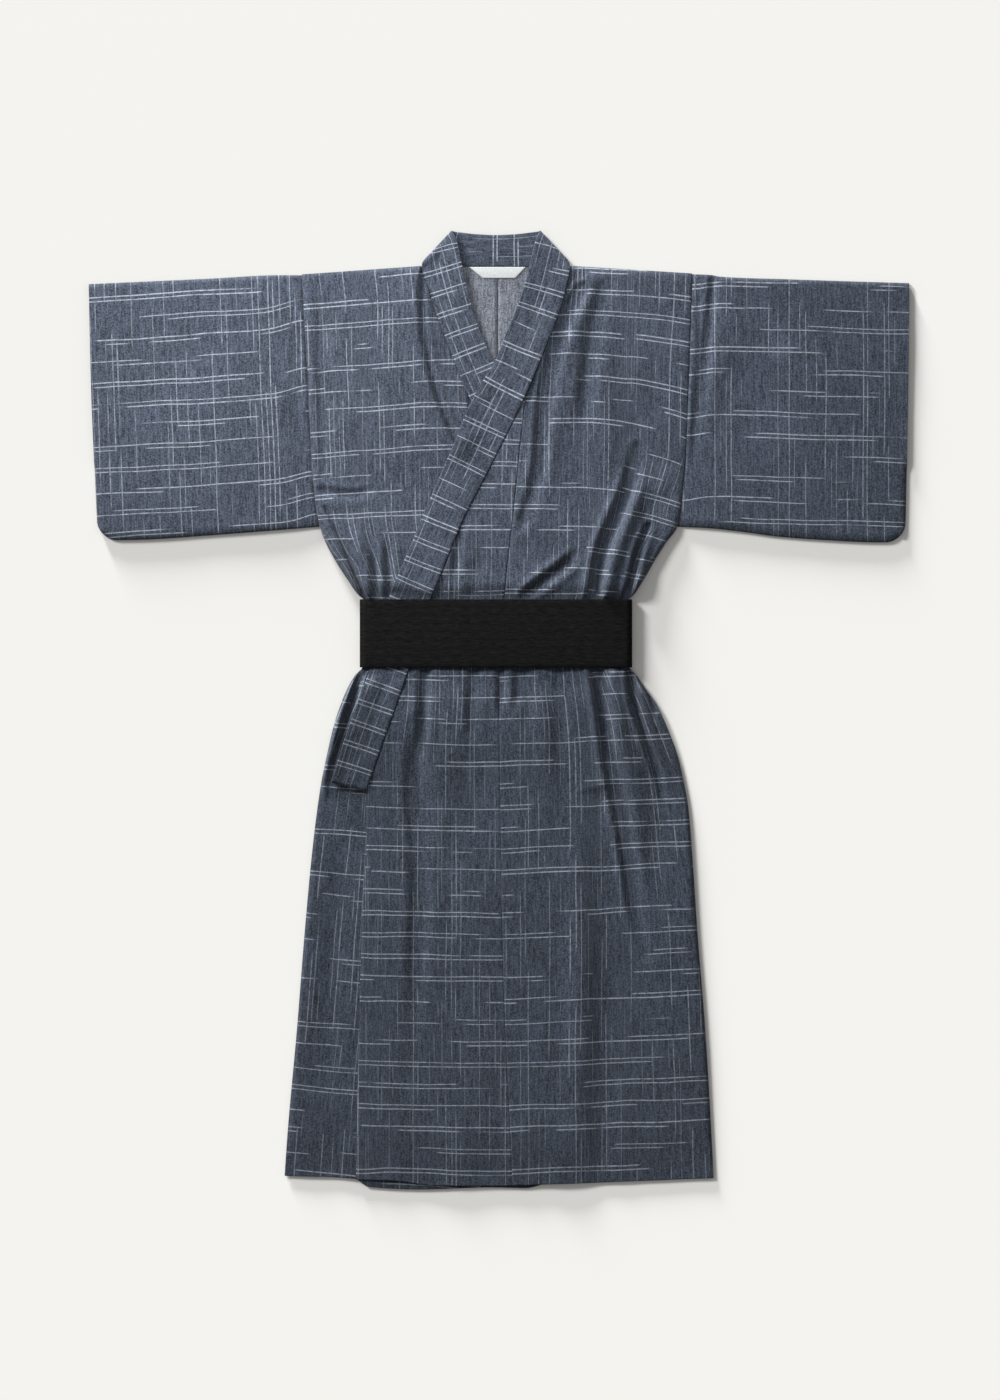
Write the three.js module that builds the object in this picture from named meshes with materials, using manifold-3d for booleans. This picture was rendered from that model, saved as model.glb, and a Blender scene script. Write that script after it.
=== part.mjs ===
// A man's yukata laid flat on its back, front up and closed left side over right,
// with a stiff black obi round the waist. Millimetres, +Z up, +Y towards the collar.
// The origin is the middle of the box round the garment, on the surface it lies on.
// "right" and "left" are the wearer's: the right half of the garment is at -X.
//
// Each cloth piece is a wall of even thickness. Its outline comes from the seam tables,
// and its height from the layers under it, the lift over the obi and the fold table.
import * as THREE from "three";
import { mergeVertices } from "three/addons/utils/BufferGeometryUtils.js";
import Module from "manifold-3d";

const wasm = await Module();
wasm.setup();

// ---- named sizes --------------------------------------------------------------------
const CLOTH = 1.5; // one layer of cotton with its turned seams
const BAND = 3.0; // the collar, a doubled band
const LABEL_WALL = 1.0;
const OBI_WALL = 2.4;
const SEAM = 0.3; // space between two pieces that are sewn together

const OBI_MIDDLE = 115.5; // the obi's centre line, along Y
const OBI_HALF = 51; // half of its width of 102
const OBI_LEFT_END = -208.5; // its turned ends, along X
const OBI_RIGHT_END = 199.5;
const OBI_HEIGHT = 19; // over its two runs, with the waist between them
const OBI_LAP = 62; // half of the lap on the underside

const BASE = 6.0; // middle of the lower front layer above the surface
const HEM_BASE = 4.4; // the same at the hem, where the layers lie close
const STACK = 3.0; // from the lower front layer to the upper one
const HEM_STACK = 2.3;
const BACK_LIFT = 5.45; // the back panels climb this much over the obi's lap
const FRONT_LIFT = 3.2;
const PUFF = 6.5; // the waist swells on both sides of the obi
const EDGE_ROUND = 10; // radius of a rolled side edge
const ARMHOLE_EDGE = 4.7; // height of the front panels' edge at the armholes
const ARMHOLE_END = 285; // lowest point of the armholes, along Y
const SLEEVE_MIDDLE = 7.2; // inner height of the sleeves, halfway out
const CUFF_HEIGHT = 6.5; // and at the hand
const BACK_HEM = -697;
const CENTRE_BACK = -1.5; // the back seam, along X
const CUFF_OPENING = 270; // hand opening, down from the top of the sleeve
const SLEEVE_CORNER = 30; // radius of the sleeve's lower outer corner
const NECK_SEAM = 665.4; // where the back panels meet the collar

// ---- seam tables, in plan ----------------------------------------------------------
// The collar, from the hidden end of the right front, round the neck, to the end of the
// left front. free is its outer folded edge, seam is where it is sewn to the panels,
// roll lifts the free edge, and level says which layer it lies on.
const COLLAR = [
  { level: "under", freeX: 155, freeY: -107, seamX: 102, seamY: -121, roll: 0 },
  { level: "under", freeX: 152, freeY: -62, seamX: 99, seamY: -67, roll: 0 },
  { level: "under", freeX: 149, freeY: -22, seamX: 96, seamY: -17.4, roll: 0 },
  { level: "under", freeX: 145, freeY: 20, seamX: 92, seamY: 20, roll: 0 },
  { level: "under", freeX: 140, freeY: 60, seamX: 88, seamY: 56.5, roll: 0 },
  { level: "under", freeX: 134, freeY: 95, seamX: 82, seamY: 90, roll: 0 },
  { level: "under", freeX: 128, freeY: 135, seamX: 76, seamY: 130, roll: 0 },
  { level: "under", freeX: 121, freeY: 174, seamX: 69, seamY: 166.5, roll: 0 },
  { level: "under", freeX: 113, freeY: 204, seamX: 61, seamY: 193.5, roll: 0 },
  { level: "under", freeX: 97, freeY: 257, seamX: 46, seamY: 243, roll: 0 },
  { level: "under", freeX: 80, freeY: 309, seamX: 28, seamY: 292.5, roll: 0 },
  { level: "under", freeX: 62, freeY: 360, seamX: 9, seamY: 343, roll: 0 },
  { level: "under", freeX: 42, freeY: 411, seamX: -13, seamY: 395, roll: 0 },
  { level: "under", freeX: 24, freeY: 451, seamX: -29, seamY: 432, roll: 0 },
  { level: "under", freeX: 8, freeY: 487, seamX: -47, seamY: 474, roll: 0.5 },
  { level: "under", freeX: -7, freeY: 520, seamX: -62, seamY: 511, roll: 1.0 },
  { level: "under", freeX: -28, freeY: 568, seamX: -79, seamY: 555, roll: 2.2 },
  { level: "under", freeX: -41, freeY: 607, seamX: -93, seamY: 592, roll: 3.6 },
  { level: "under", freeX: -49, freeY: 640, seamX: -105, seamY: 627.6, roll: 5.0 },
  { level: "under", freeX: -56, freeY: 672, seamX: -111, seamY: 645, roll: 6.4 },
  { level: "under", freeX: -61, freeY: 696, seamX: -115, seamY: 659, roll: 7.2 },
  { level: "neck", freeX: -66.5, freeY: 712, seamX: -115.5, seamY: 667.4, freeZ: 12.4, seamZ: 8.2 },
  { level: "neck", freeX: -70, freeY: 718.4, seamX: -113.5, seamY: 672.2, freeZ: 9.4, seamZ: 6.6 },
  { level: "neck", freeX: -70, freeY: 718.8, seamX: -111, seamY: 672.6, freeZ: 6.0, seamZ: 4.4 },
  { level: "neck", freeX: -66.5, freeY: 718, seamX: -104, seamY: 669.4, freeZ: 3.0, seamZ: 2.0 },
  { level: "neck", freeX: -56, freeY: 716.6, seamX: -84, seamY: 666.4, freeZ: 1.6, seamZ: 1.5 },
  { level: "neck", freeX: -35, freeY: 714, seamX: -46, seamY: 665.8, freeZ: 1.5, seamZ: 1.5 },
  { level: "neck", freeX: -4.5, freeY: 712.6, seamX: -4.5, seamY: 665.7, freeZ: 1.5, seamZ: 1.5 },
  { level: "neck", freeX: 26, freeY: 714, seamX: 37, seamY: 665.8, freeZ: 1.5, seamZ: 1.5 },
  { level: "neck", freeX: 47, freeY: 716.6, seamX: 75, seamY: 666.4, freeZ: 1.6, seamZ: 1.5 },
  { level: "neck", freeX: 57.5, freeY: 718, seamX: 95, seamY: 669.4, freeZ: 3.0, seamZ: 2.0 },
  { level: "neck", freeX: 61, freeY: 718.8, seamX: 102, seamY: 672.6, freeZ: 6.0, seamZ: 4.4 },
  { level: "neck", freeX: 61, freeY: 718.4, seamX: 104.5, seamY: 672.2, freeZ: 9.4, seamZ: 6.6 },
  { level: "neck", freeX: 57.5, freeY: 712, seamX: 106, seamY: 667.4, freeZ: 12.4, seamZ: 8.4 },
  { level: "over", freeX: 52, freeY: 694, seamX: 105.5, seamY: 659, roll: 6.6 },
  { level: "over", freeX: 46, freeY: 668, seamX: 103, seamY: 645, roll: 5.8 },
  { level: "over", freeX: 39, freeY: 640, seamX: 99, seamY: 627.6, roll: 4.6 },
  { level: "over", freeX: 27, freeY: 604, seamX: 88, seamY: 592, roll: 3.2 },
  { level: "over", freeX: 12, freeY: 569, seamX: 73.5, seamY: 555, roll: 2.0 },
  { level: "over", freeX: -8, freeY: 519, seamX: 56, seamY: 511, roll: 1.0 },
  { level: "over", freeX: -27, freeY: 489, seamX: 40, seamY: 474, roll: 0.5 },
  { level: "over", freeX: -49, freeY: 446, seamX: 20, seamY: 432, roll: 0 },
  { level: "over", freeX: -66, freeY: 403, seamX: 1.5, seamY: 395, roll: 0 },
  { level: "over", freeX: -88, freeY: 352, seamX: -25, seamY: 343, roll: 0 },
  { level: "over", freeX: -110, freeY: 301, seamX: -51, seamY: 292.5, roll: 0 },
  { level: "over", freeX: -131, freeY: 250, seamX: -72, seamY: 243, roll: 0 },
  { level: "over", freeX: -151, freeY: 203, seamX: -91.5, seamY: 193.5, roll: 0 },
  { level: "over", freeX: -157.5, freeY: 188, seamX: -97.5, seamY: 180, roll: 0 },
  { level: "over", freeX: -163, freeY: 174, seamX: -103, seamY: 166.5, roll: 0 },
  { level: "over", freeX: -174, freeY: 137, seamX: -116, seamY: 130, roll: 0 },
  { level: "over", freeX: -184, freeY: 97, seamX: -127, seamY: 90, roll: 0 },
  { level: "over", freeX: -194, freeY: 60, seamX: -137.5, seamY: 56.5, roll: 0 },
  { level: "over", freeX: -199.5, freeY: 44, seamX: -142.3, seamY: 42, roll: 0 },
  { level: "over", freeX: -208, freeY: 21, seamX: -150, seamY: 20, roll: 0 },
  { level: "over", freeX: -222, freeY: -17, seamX: -163.2, seamY: -17.4, roll: 0 },
  { level: "over", freeX: -237, freeY: -61, seamX: -181, seamY: -67, roll: 0 },
  { level: "over", freeX: -251, freeY: -108, seamX: -199.5, seamY: -121, roll: 0 },
];

// Side edges of the body: the armhole down to the armpit, then the side seam to the hem.
const RIGHT_SIDE = [
  { y: 652.5, x: -295.5 }, { y: 565, x: -290.5 }, { y: 480, x: -285.5 }, { y: 369, x: -280 },
  { y: 321, x: -276 }, { y: 276, x: -268.5 }, { y: 255, x: -261 }, { y: 226.5, x: -246 },
  { y: 196.5, x: -227 }, { y: 170, x: -207 }, { y: 167, x: -202 }, { y: 64, x: -202 },
  { y: 61, x: -207 }, { y: 46.5, x: -219.5 }, { y: 9, x: -237 }, { y: -28.5, x: -249 },
  { y: -66, x: -257.5 }, { y: -103.5, x: -265.5 }, { y: -141, x: -271.5 }, { y: -216, x: -280.5 },
  { y: -328.5, x: -291 }, { y: -478.5, x: -303 }, { y: -628.5, x: -316.5 }, { y: -730, x: -323 },
];
const LEFT_SIDE = [
  { y: 654, x: 289.5 }, { y: 612, x: 288 }, { y: 462, x: 282.8 }, { y: 390, x: 280 },
  { y: 307.5, x: 272.5 }, { y: 276, x: 267 }, { y: 252, x: 250.5 }, { y: 223.5, x: 232.5 },
  { y: 193.5, x: 215 }, { y: 170, x: 198 }, { y: 167, x: 193 }, { y: 64, x: 193 },
  { y: 61, x: 198 }, { y: 31.5, x: 220 }, { y: 9, x: 236 }, { y: -28.5, x: 253.5 },
  { y: -66, x: 267 }, { y: -103.5, x: 276 }, { y: -141, x: 283 }, { y: -216, x: 289.5 },
  { y: -328.5, x: 297 }, { y: -478.5, x: 309 }, { y: -628.5, x: 318 }, { y: -730, x: 323 },
];
// The seams that join each front panel to its overlap panel (okumi), and the overlap
// panels' free front edges below the collar's ends.
const LEFT_OKUMI_SEAM = [
  { y: 474, x: 40 }, { y: 432, x: 35.5 }, { y: 395, x: 31.5 }, { y: 301.5, x: 22 },
  { y: 181.5, x: 9 }, { y: 58.5, x: 0 }, { y: -214.5, x: 3 }, { y: -429, x: 7.5 },
  { y: -589.5, x: 15 }, { y: -730, x: 21.5 },
];
const RIGHT_OKUMI_SEAM = [
  { y: 474, x: -47 }, { y: 432, x: -44 }, { y: 395, x: -41 }, { y: 301.5, x: -32 },
  { y: 181.5, x: -19 }, { y: 58.5, x: -10 }, { y: -214.5, x: -13 }, { y: -429, x: -17 },
  { y: -589.5, x: -24 }, { y: -730, x: -30 },
];
const LEFT_FRONT_EDGE = [
  { y: -121, x: -199.5 }, { y: -216, x: -199 }, { y: -258, x: -203 }, { y: -322.5, x: -205.5 },
  { y: -429, x: -209 }, { y: -535.5, x: -211 }, { y: -589.5, x: -212.5 }, { y: -730, x: -215 },
];
const RIGHT_FRONT_EDGE = [{ y: -121, x: 102 }, { y: -429, x: 105 }, { y: -730, x: 108 }];
// Hems, as seen from the front. The lower layer hangs out a little under the upper one.
const UPPER_HEM = [
  { x: -214.5, y: -703 }, { x: -165, y: -704 }, { x: -99, y: -711.5 }, { x: -22, y: -712.5 },
  { x: 76, y: -710 }, { x: 323, y: -701 },
];
const LOWER_HEM = [
  { x: -323, y: -697.5 }, { x: -216, y: -702 }, { x: -196, y: -714 }, { x: -117, y: -718 },
  { x: -12, y: -715 }, { x: 39, y: -716 }, { x: 92, y: -703 }, { x: 108, y: -702 },
];
// How far the lower front layer reaches to the left, under the upper one.
const UNDER_REACH = [
  { y: 720, x: -70 }, { y: 520, x: -7 }, { y: 411, x: 42 }, { y: 309, x: 80 }, { y: 204, x: 113 },
  { y: 60, x: 140 }, { y: -107, x: 155 }, { y: -125, x: 106 }, { y: -730, x: 108 },
];
// Sleeves: x is measured outwards from the body, so both sides share the columns.
const RIGHT_SLEEVE = {
  side: -1, armhole: RIGHT_SIDE,
  top: [{ x: 295.5, y: 652.5 }, { x: 330, y: 652.5 }, { x: 430, y: 647.5 }, { x: 615, y: 639 }],
  cuff: [{ y: 652.5, x: 615 }, { y: 480, x: 611 }, { y: 294, x: 603 }, { y: 230, x: 600 }],
  bottom: [{ x: 268, y: 276 }, { x: 343, y: 270 }, { x: 444, y: 262.5 }, { x: 540, y: 256.5 }, { x: 615, y: 255 }],
};
const LEFT_SLEEVE = {
  side: 1, armhole: LEFT_SIDE,
  top: [{ x: 289, y: 654 }, { x: 318, y: 652.8 }, { x: 330, y: 650.5 }, { x: 430, y: 646.5 }, { x: 615, y: 640.5 }],
  cuff: [{ y: 654, x: 615 }, { y: 480, x: 613 }, { y: 284, x: 609.5 }, { y: 230, x: 608 }],
  bottom: [{ x: 267, y: 276 }, { x: 316, y: 273.5 }, { x: 367, y: 268 }, { x: 420, y: 261 }, { x: 496, y: 255.5 }, { x: 560, y: 252.5 }, { x: 615, y: 252 }],
};

// ---- folds ------------------------------------------------------------------------
// Each runs from (x0, y0) past (x1, y1) to (x2, y2). rise is its height, below zero for
// a trough; toLeft and toRight are its half-widths. start and end say how much of it is
// left at each end.
const FOLDS = [
  // above the obi, on the left front
  { x0: 202, y0: 380, x1: 172, y1: 284, x2: 141, y2: 160, rise: -8, toLeft: 20, toRight: 13, start: 0, end: 1 },
  { x0: 232, y0: 352, x1: 194, y1: 262, x2: 163, y2: 160, rise: 5, toLeft: 15, toRight: 15, start: 0, end: 1 },
  { x0: 221, y0: 268, x1: 206, y1: 224, x2: 188, y2: 160, rise: -7, toLeft: 12, toRight: 10, start: 0, end: 1 },
  { x0: 128, y0: 250, x1: 84, y1: 212, x2: 12, y2: 170, rise: -6, toLeft: 16, toRight: 16, start: 0, end: 0.6 },
  { x0: 118, y0: 640, x1: 76, y1: 505, x2: 46, y2: 270, rise: -3.4, toLeft: 14, toRight: 18, start: 0.2, end: 0 },
  { x0: 150, y0: 620, x1: 108, y1: 460, x2: 88, y2: 330, rise: 3.4, toLeft: 22, toRight: 30, start: 0, end: 0 },
  // above the obi, on the right front
  { x0: -252, y0: 302, x1: -226, y1: 234, x2: -196, y2: 160, rise: -7, toLeft: 10, toRight: 12, start: 0, end: 1 },
  { x0: -204, y0: 280, x1: -200, y1: 228, x2: -184, y2: 160, rise: 3.5, toLeft: 14, toRight: 16, start: 0, end: 1 },
  { x0: -172, y0: 268, x1: -170, y1: 215, x2: -166, y2: 160, rise: -4, toLeft: 12, toRight: 12, start: 0, end: 1 },
  { x0: -122, y0: 650, x1: -112, y1: 550, x2: -72, y2: 408, rise: -3.4, toLeft: 12, toRight: 12, start: 0.3, end: 0 },
  { x0: -150, y0: 640, x1: -142, y1: 540, x2: -112, y2: 400, rise: 3, toLeft: 24, toRight: 20, start: 0, end: 0 },
  // below the obi, on the left side
  { x0: 190, y0: 70, x1: 214, y1: -46, x2: 250, y2: -240, rise: -7.5, toLeft: 13, toRight: 11, start: 1, end: 0 },
  { x0: 168, y0: 66, x1: 186, y1: -50, x2: 214, y2: -190, rise: 4.5, toLeft: 17, toRight: 17, start: 1, end: 0 },
  { x0: 140, y0: 66, x1: 160, y1: -76, x2: 212, y2: -345, rise: -5.5, toLeft: 16, toRight: 16, start: 1, end: 0 },
  { x0: 92, y0: 60, x1: 96, y1: -60, x2: 104, y2: -220, rise: 3, toLeft: 26, toRight: 24, start: 0.6, end: 0 },
  // below the obi, on the overlap and the right side
  { x0: -108, y0: 66, x1: -131, y1: -84, x2: -130, y2: -420, rise: -4.5, toLeft: 17, toRight: 17, start: 1, end: 0 },
  { x0: -70, y0: 60, x1: -80, y1: -70, x2: -76, y2: -250, rise: 3, toLeft: 22, toRight: 26, start: 0.7, end: 0 },
  { x0: -202, y0: 66, x1: -232, y1: -34, x2: -262, y2: -205, rise: -7.5, toLeft: 11, toRight: 13, start: 1, end: 0 },
];

// ---- small helpers ----------------------------------------------------------------
const mix = (a, b, t) => a + (b - a) * t;
const clamp01 = (t) => Math.min(1, Math.max(0, t));
function smooth(from, to, t) {
  const s = clamp01((t - from) / (to - from));
  return s * s * (3 - 2 * s);
}
// A column of a table at a place, straight between its rows. The rows run either way.
function at(table, by, want, place) {
  const rising = table[table.length - 1][by] > table[0][by];
  const rows = rising ? table : [...table].reverse();
  if (place <= rows[0][by]) return rows[0][want];
  for (let i = 1; i < rows.length; i++)
    if (place <= rows[i][by])
      return mix(rows[i - 1][want], rows[i][want], (place - rows[i - 1][by]) / (rows[i][by] - rows[i - 1][by]));
  return rows[rows.length - 1][want];
}

// ---- heights ----------------------------------------------------------------------
const outsideObi = (y) => Math.abs(y - OBI_MIDDLE) - OBI_HALF;

function foldRise(f, x, y) {
  const lengths = [Math.hypot(f.x1 - f.x0, f.y1 - f.y0), Math.hypot(f.x2 - f.x1, f.y2 - f.y1)];
  const whole = lengths[0] + lengths[1];
  let best = Infinity, along = 0, across = 0;
  for (const [ax, ay, bx, by, before, long] of [
    [f.x0, f.y0, f.x1, f.y1, 0, lengths[0]],
    [f.x1, f.y1, f.x2, f.y2, lengths[0], lengths[1]],
  ]) {
    const ux = (bx - ax) / long, uy = (by - ay) / long;
    const t = Math.min(long, Math.max(0, (x - ax) * ux + (y - ay) * uy));
    const dx = x - ax - t * ux, dy = y - ay - t * uy, d = Math.hypot(dx, dy);
    if (d < best) {
      best = d;
      along = (before + t) / whole;
      across = dx < 0 ? -d : d;
    }
  }
  const width = across < 0 ? f.toLeft : f.toRight;
  const kept = mix(f.start, 1, smooth(0, 0.35, along)) * mix(1, f.end, smooth(0.6, 1, along));
  return f.rise * kept * Math.exp(-((across / width) ** 2));
}

// Middle of the back panels: flat on the surface, and up over the obi's underside.
function backZ(x, y) {
  return CLOTH / 2 + BACK_LIFT * (1 - smooth(3.4, 40, outsideObi(y)));
}

// Middle of the lower front layer.
function underZ(x, y) {
  const q = outsideObi(y);
  const free = smooth(-6, 30, q);
  const base = mix(BASE, HEM_BASE, 1 - smooth(-712, -640, y));
  const lift = FRONT_LIFT * (1 - smooth(0, 60, q));
  const puff = PUFF * smooth(0, 24, q) * (1 - smooth(55, 200, q));
  let folds = 0;
  for (const f of FOLDS) folds += foldRise(f, x, y);
  return Math.max(base + lift + puff + folds * mix(0.12, 1, free), backZ(x, y) + CLOTH + 0.6);
}

// Middle of the upper front layer, which comes down where nothing is under it.
function overZ(x, y) {
  const stack = mix(STACK, HEM_STACK, 1 - smooth(-712, -640, y));
  const past = x - at(UNDER_REACH, "y", "x", y);
  return underZ(x, y) + stack * (1 - smooth(6, 46, past));
}

// A rolled edge: the height at a distance from it. At the side seam and the shoulder fold
// it comes down to the back panel, and at the armhole it stays open towards the sleeve.
function rolled(z, x, y, distance, open) {
  const low = open ? ARMHOLE_EDGE : backZ(x, y) + CLOTH + SEAM;
  const t = clamp01(distance / EDGE_ROUND);
  return mix(low, Math.max(z, low), Math.sqrt(1 - (1 - t) * (1 - t)));
}

// ---- solids -----------------------------------------------------------------------
// A closed wall round a grid of middle points. rows[i][j] = {p, n}: the point and the
// direction in which the wall's upper face lies.
function wall(rows, thickness) {
  const n = rows.length, m = rows[0].length, positions = [], index = [];
  for (const sign of [1, -1])
    for (const row of rows)
      for (const { p, n: up } of row)
        positions.push(p.x + (sign * up.x * thickness) / 2, p.y + (sign * up.y * thickness) / 2, p.z + (sign * up.z * thickness) / 2);
  const top = (i, j) => i * m + j, low = (i, j) => n * m + i * m + j;
  const quad = (a, b, c, d) => index.push(a, b, c, a, c, d);
  for (let i = 0; i < n - 1; i++)
    for (let j = 0; j < m - 1; j++) {
      quad(top(i, j), top(i + 1, j), top(i + 1, j + 1), top(i, j + 1));
      quad(low(i, j), low(i, j + 1), low(i + 1, j + 1), low(i + 1, j));
    }
  for (let i = 0; i < n - 1; i++) {
    quad(top(i, 0), low(i, 0), low(i + 1, 0), top(i + 1, 0));
    quad(top(i, m - 1), top(i + 1, m - 1), low(i + 1, m - 1), low(i, m - 1));
  }
  for (let j = 0; j < m - 1; j++) {
    quad(top(0, j), top(0, j + 1), low(0, j + 1), low(0, j));
    quad(top(n - 1, j), low(n - 1, j), low(n - 1, j + 1), top(n - 1, j + 1));
  }
  const g = new THREE.BufferGeometry();
  g.setAttribute("position", new THREE.BufferAttribute(new Float32Array(positions), 3));
  g.setIndex(index);
  return g;
}

const UP = new THREE.Vector3(0, 0, 1);

// Places across a front panel, from its collar side to its outer edge: close together
// towards the side of the body, where most folds are, and at the rolled edge itself.
const SPREAD = [0, 0.13, 0.26, 0.39, 0.51, 0.61, 0.69, 0.76, 0.83, 0.9];
function frontColumns(wide) {
  return [...SPREAD.map((u) => u * (1 - EDGE_ROUND / wide)), 1 - EDGE_ROUND / wide, 1 - 3 / wide, 1];
}
const mirrored = (columns) => (wide) => columns(wide).map((u) => 1 - u).reverse();
const even = (count) => () => Array.from({ length: count + 1 }, (_, i) => i / count);

// ---- body -------------------------------------------------------------------------
const side = { right: (y) => at(RIGHT_SIDE, "y", "x", y), left: (y) => at(LEFT_SIDE, "y", "x", y) };
const overSeam = COLLAR.filter((s) => s.level === "over"); // from the shoulder down
const underSeam = COLLAR.filter((s) => s.level === "under").reverse();
const SHOULDER = { neckRight: { x: -116.2, y: 665.2 }, neckLeft: { x: 106.6, y: 665.4 } };
const UPPER_ROWS = [659, 645, 627.6, 592, 555, 511, 474, 432, 395, 343, 310, 292.5, 276, 243, 217, 206, 193.5, 180, 170, 166.5, 130, 90, 64, 60, 56.5, 42, 31, 20, -17.4, -67, -94, -121];
const LOWER_ROWS = [-160, -205, -260, -330, -400, -480, -560, -640, -680];

// Rows of the left front: shoulder, then down to the hem.
function frontSections(isLeft) {
  const collarSeam = isLeft ? overSeam : underSeam;
  const okumi = isLeft ? LEFT_OKUMI_SEAM : RIGHT_OKUMI_SEAM;
  const hem = isLeft ? UPPER_HEM : LOWER_HEM;
  const inner = (y) => (y > 474 ? at(collarSeam, "seamY", "seamX", y) : at(okumi, "y", "x", y));
  const sign = isLeft ? 1 : -1, gap = sign * 0.45;
  const outer = isLeft ? side.left : side.right;
  const neck = isLeft ? SHOULDER.neckLeft : SHOULDER.neckRight;
  const arm = isLeft ? LEFT_SIDE[0] : RIGHT_SIDE[0];
  const make = (ix, iy, ox, oy) =>
    isLeft ? { leftX: ix + gap, leftY: iy, rightX: ox, rightY: oy } : { leftX: ox, leftY: oy, rightX: ix + gap, rightY: iy };
  const rows = [make(neck.x, neck.y, arm.x, arm.y), make(neck.x, neck.y - 2.6, arm.x, arm.y - 3)];
  for (const y of [...UPPER_ROWS, ...LOWER_ROWS]) {
    const oy = y > 640 ? mix(arm.y, y, y > 650 ? 1.9 : 1) : y;
    rows.push(make(inner(y), y, outer(y > 640 ? arm.y - (659 - y) - 8 : y), y > 640 ? arm.y - (659 - y) - 8 : oy));
  }
  const ends = isLeft ? [inner(-710), 323] : [inner(-716), -323];
  const hemInner = at(hem, "x", "y", ends[0]), hemOuter = at(hem, "x", "y", ends[1]);
  rows.push(make(inner(hemInner), hemInner, outer(hemOuter), hemOuter));
  return rows;
}
// The hem's own curve between the ends of the last row.
function curvedHem(rows, hem) {
  const last = rows.length - 1;
  rows[last] = rows[last].map(({ p, n }) => ({ p: new THREE.Vector3(p.x, at(hem, "x", "y", p.x), p.z), n }));
}

function sheetRows(sections, columns, height, rolls) {
  return sections.map((s, i) => {
    const wide = s.rightX - s.leftX;
    return columns(wide).map((u) => {
      const x = s.leftX + wide * u, y = mix(s.leftY, s.rightY, u);
      let z = height(x, y);
      const sideways = Math.min(rolls.left ? u * wide : Infinity, rolls.right ? (1 - u) * wide : Infinity);
      const down = rolls.top ? [0, 2.8, 8][i] ?? Infinity : Infinity;
      if (sideways < EDGE_ROUND) z = rolled(z, x, y, sideways, y > ARMHOLE_END);
      if (down < EDGE_ROUND) z = rolled(z, x, y, down, false);
      return { p: new THREE.Vector3(x, y, z), n: UP };
    });
  });
}

function frontPanel(isLeft) {
  const rows = sheetRows(
    frontSections(isLeft),
    isLeft ? frontColumns : mirrored(frontColumns),
    isLeft ? overZ : underZ,
    isLeft ? { right: true, top: true } : { left: true, top: true },
  );
  curvedHem(rows, isLeft ? UPPER_HEM : LOWER_HEM);
  return wall(rows, CLOTH);
}

// An overlap panel: from its point at the collar down to the hem, between the seam with
// the front panel and the collar, and below the collar its own free edge.
function okumiPanel(isLeft) {
  const collarSeam = isLeft ? overSeam : underSeam;
  const seam = isLeft ? LEFT_OKUMI_SEAM : RIGHT_OKUMI_SEAM;
  const edge = isLeft ? LEFT_FRONT_EDGE : RIGHT_FRONT_EDGE;
  const hem = isLeft ? UPPER_HEM : LOWER_HEM;
  const free = (y) => (y > -121 ? at(collarSeam, "seamY", "seamX", y) : at(edge, "y", "x", y));
  const bySeam = (y) => at(seam, "y", "x", y);
  const rows = isLeft ? [462, ...UPPER_ROWS.filter((y) => y < 462), ...LOWER_ROWS] : [455, 395, 292.5, 193.5, 166.5, 130, 90, 56.5, 20, -17.4, -67, -121, -205, -330, -480, -640];
  const sections = rows.map((y) =>
    isLeft
      ? { leftX: free(y) + 0.45, leftY: y, rightX: bySeam(y) - 0.15, rightY: y }
      : { leftX: bySeam(y) + 0.15, leftY: y, rightX: free(y) - 0.45, rightY: y },
  );
  const low = isLeft ? -707 : -710;
  sections.push(
    isLeft
      ? { leftX: free(low) + 0.45, leftY: low, rightX: bySeam(low) - 0.15, rightY: low }
      : { leftX: bySeam(low) + 0.15, leftY: low, rightX: free(low) - 0.45, rightY: low },
  );
  const built = sheetRows(sections, even(isLeft ? 6 : 3), isLeft ? overZ : underZ, {});
  curvedHem(built, hem);
  return wall(built, CLOTH);
}

function backPanel(isLeft) {
  const outer = isLeft ? side.left : side.right;
  const arm = isLeft ? LEFT_SIDE[0] : RIGHT_SIDE[0];
  const inner = CENTRE_BACK + (isLeft ? 0.2 : -0.2);
  const rows = [600, 520, 432, 343, 276, 243, 217, 206, 193.5, 180, 170, 166.5, 130, 90, 64, 60, 56.5, 42, 31, 20, -17.4, -67, -121, -205, -330, -480, -620, BACK_HEM];
  const sections = rows.map((y) => [outer(y) + (isLeft ? -0.8 : 0.8) * (y < 276 ? 1 : 0), y, inner, y]);
  sections.unshift([outer(640), 640, inner, 648]);
  sections.unshift([arm.x, arm.y - 0.4, inner, NECK_SEAM]);
  // The top edge runs just below the shoulder fold, then steps up to the neck seam.
  const neck = isLeft ? SHOULDER.neckLeft : SHOULDER.neckRight;
  const wide = Math.abs(arm.x - inner), foldEnd = (Math.abs(arm.x) - Math.abs(neck.x) - 0.6) / wide;
  const built = sections.map(([ox, oy, ix, iy], i) => {
    const list = [0, 0.3, foldEnd, foldEnd + 2.6 / wide, 1].map((u) => {
      const x = mix(ox, ix, u);
      let y = mix(oy, iy, u);
      if (i === 0) y = u > foldEnd ? NECK_SEAM - 0.3 : mix(arm.y, neck.y, u / foldEnd) - 2.2;
      return { p: new THREE.Vector3(x, y, backZ(x, y)), n: UP };
    });
    return isLeft ? list.reverse() : list;
  });
  return wall(built, CLOTH);
}

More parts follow.
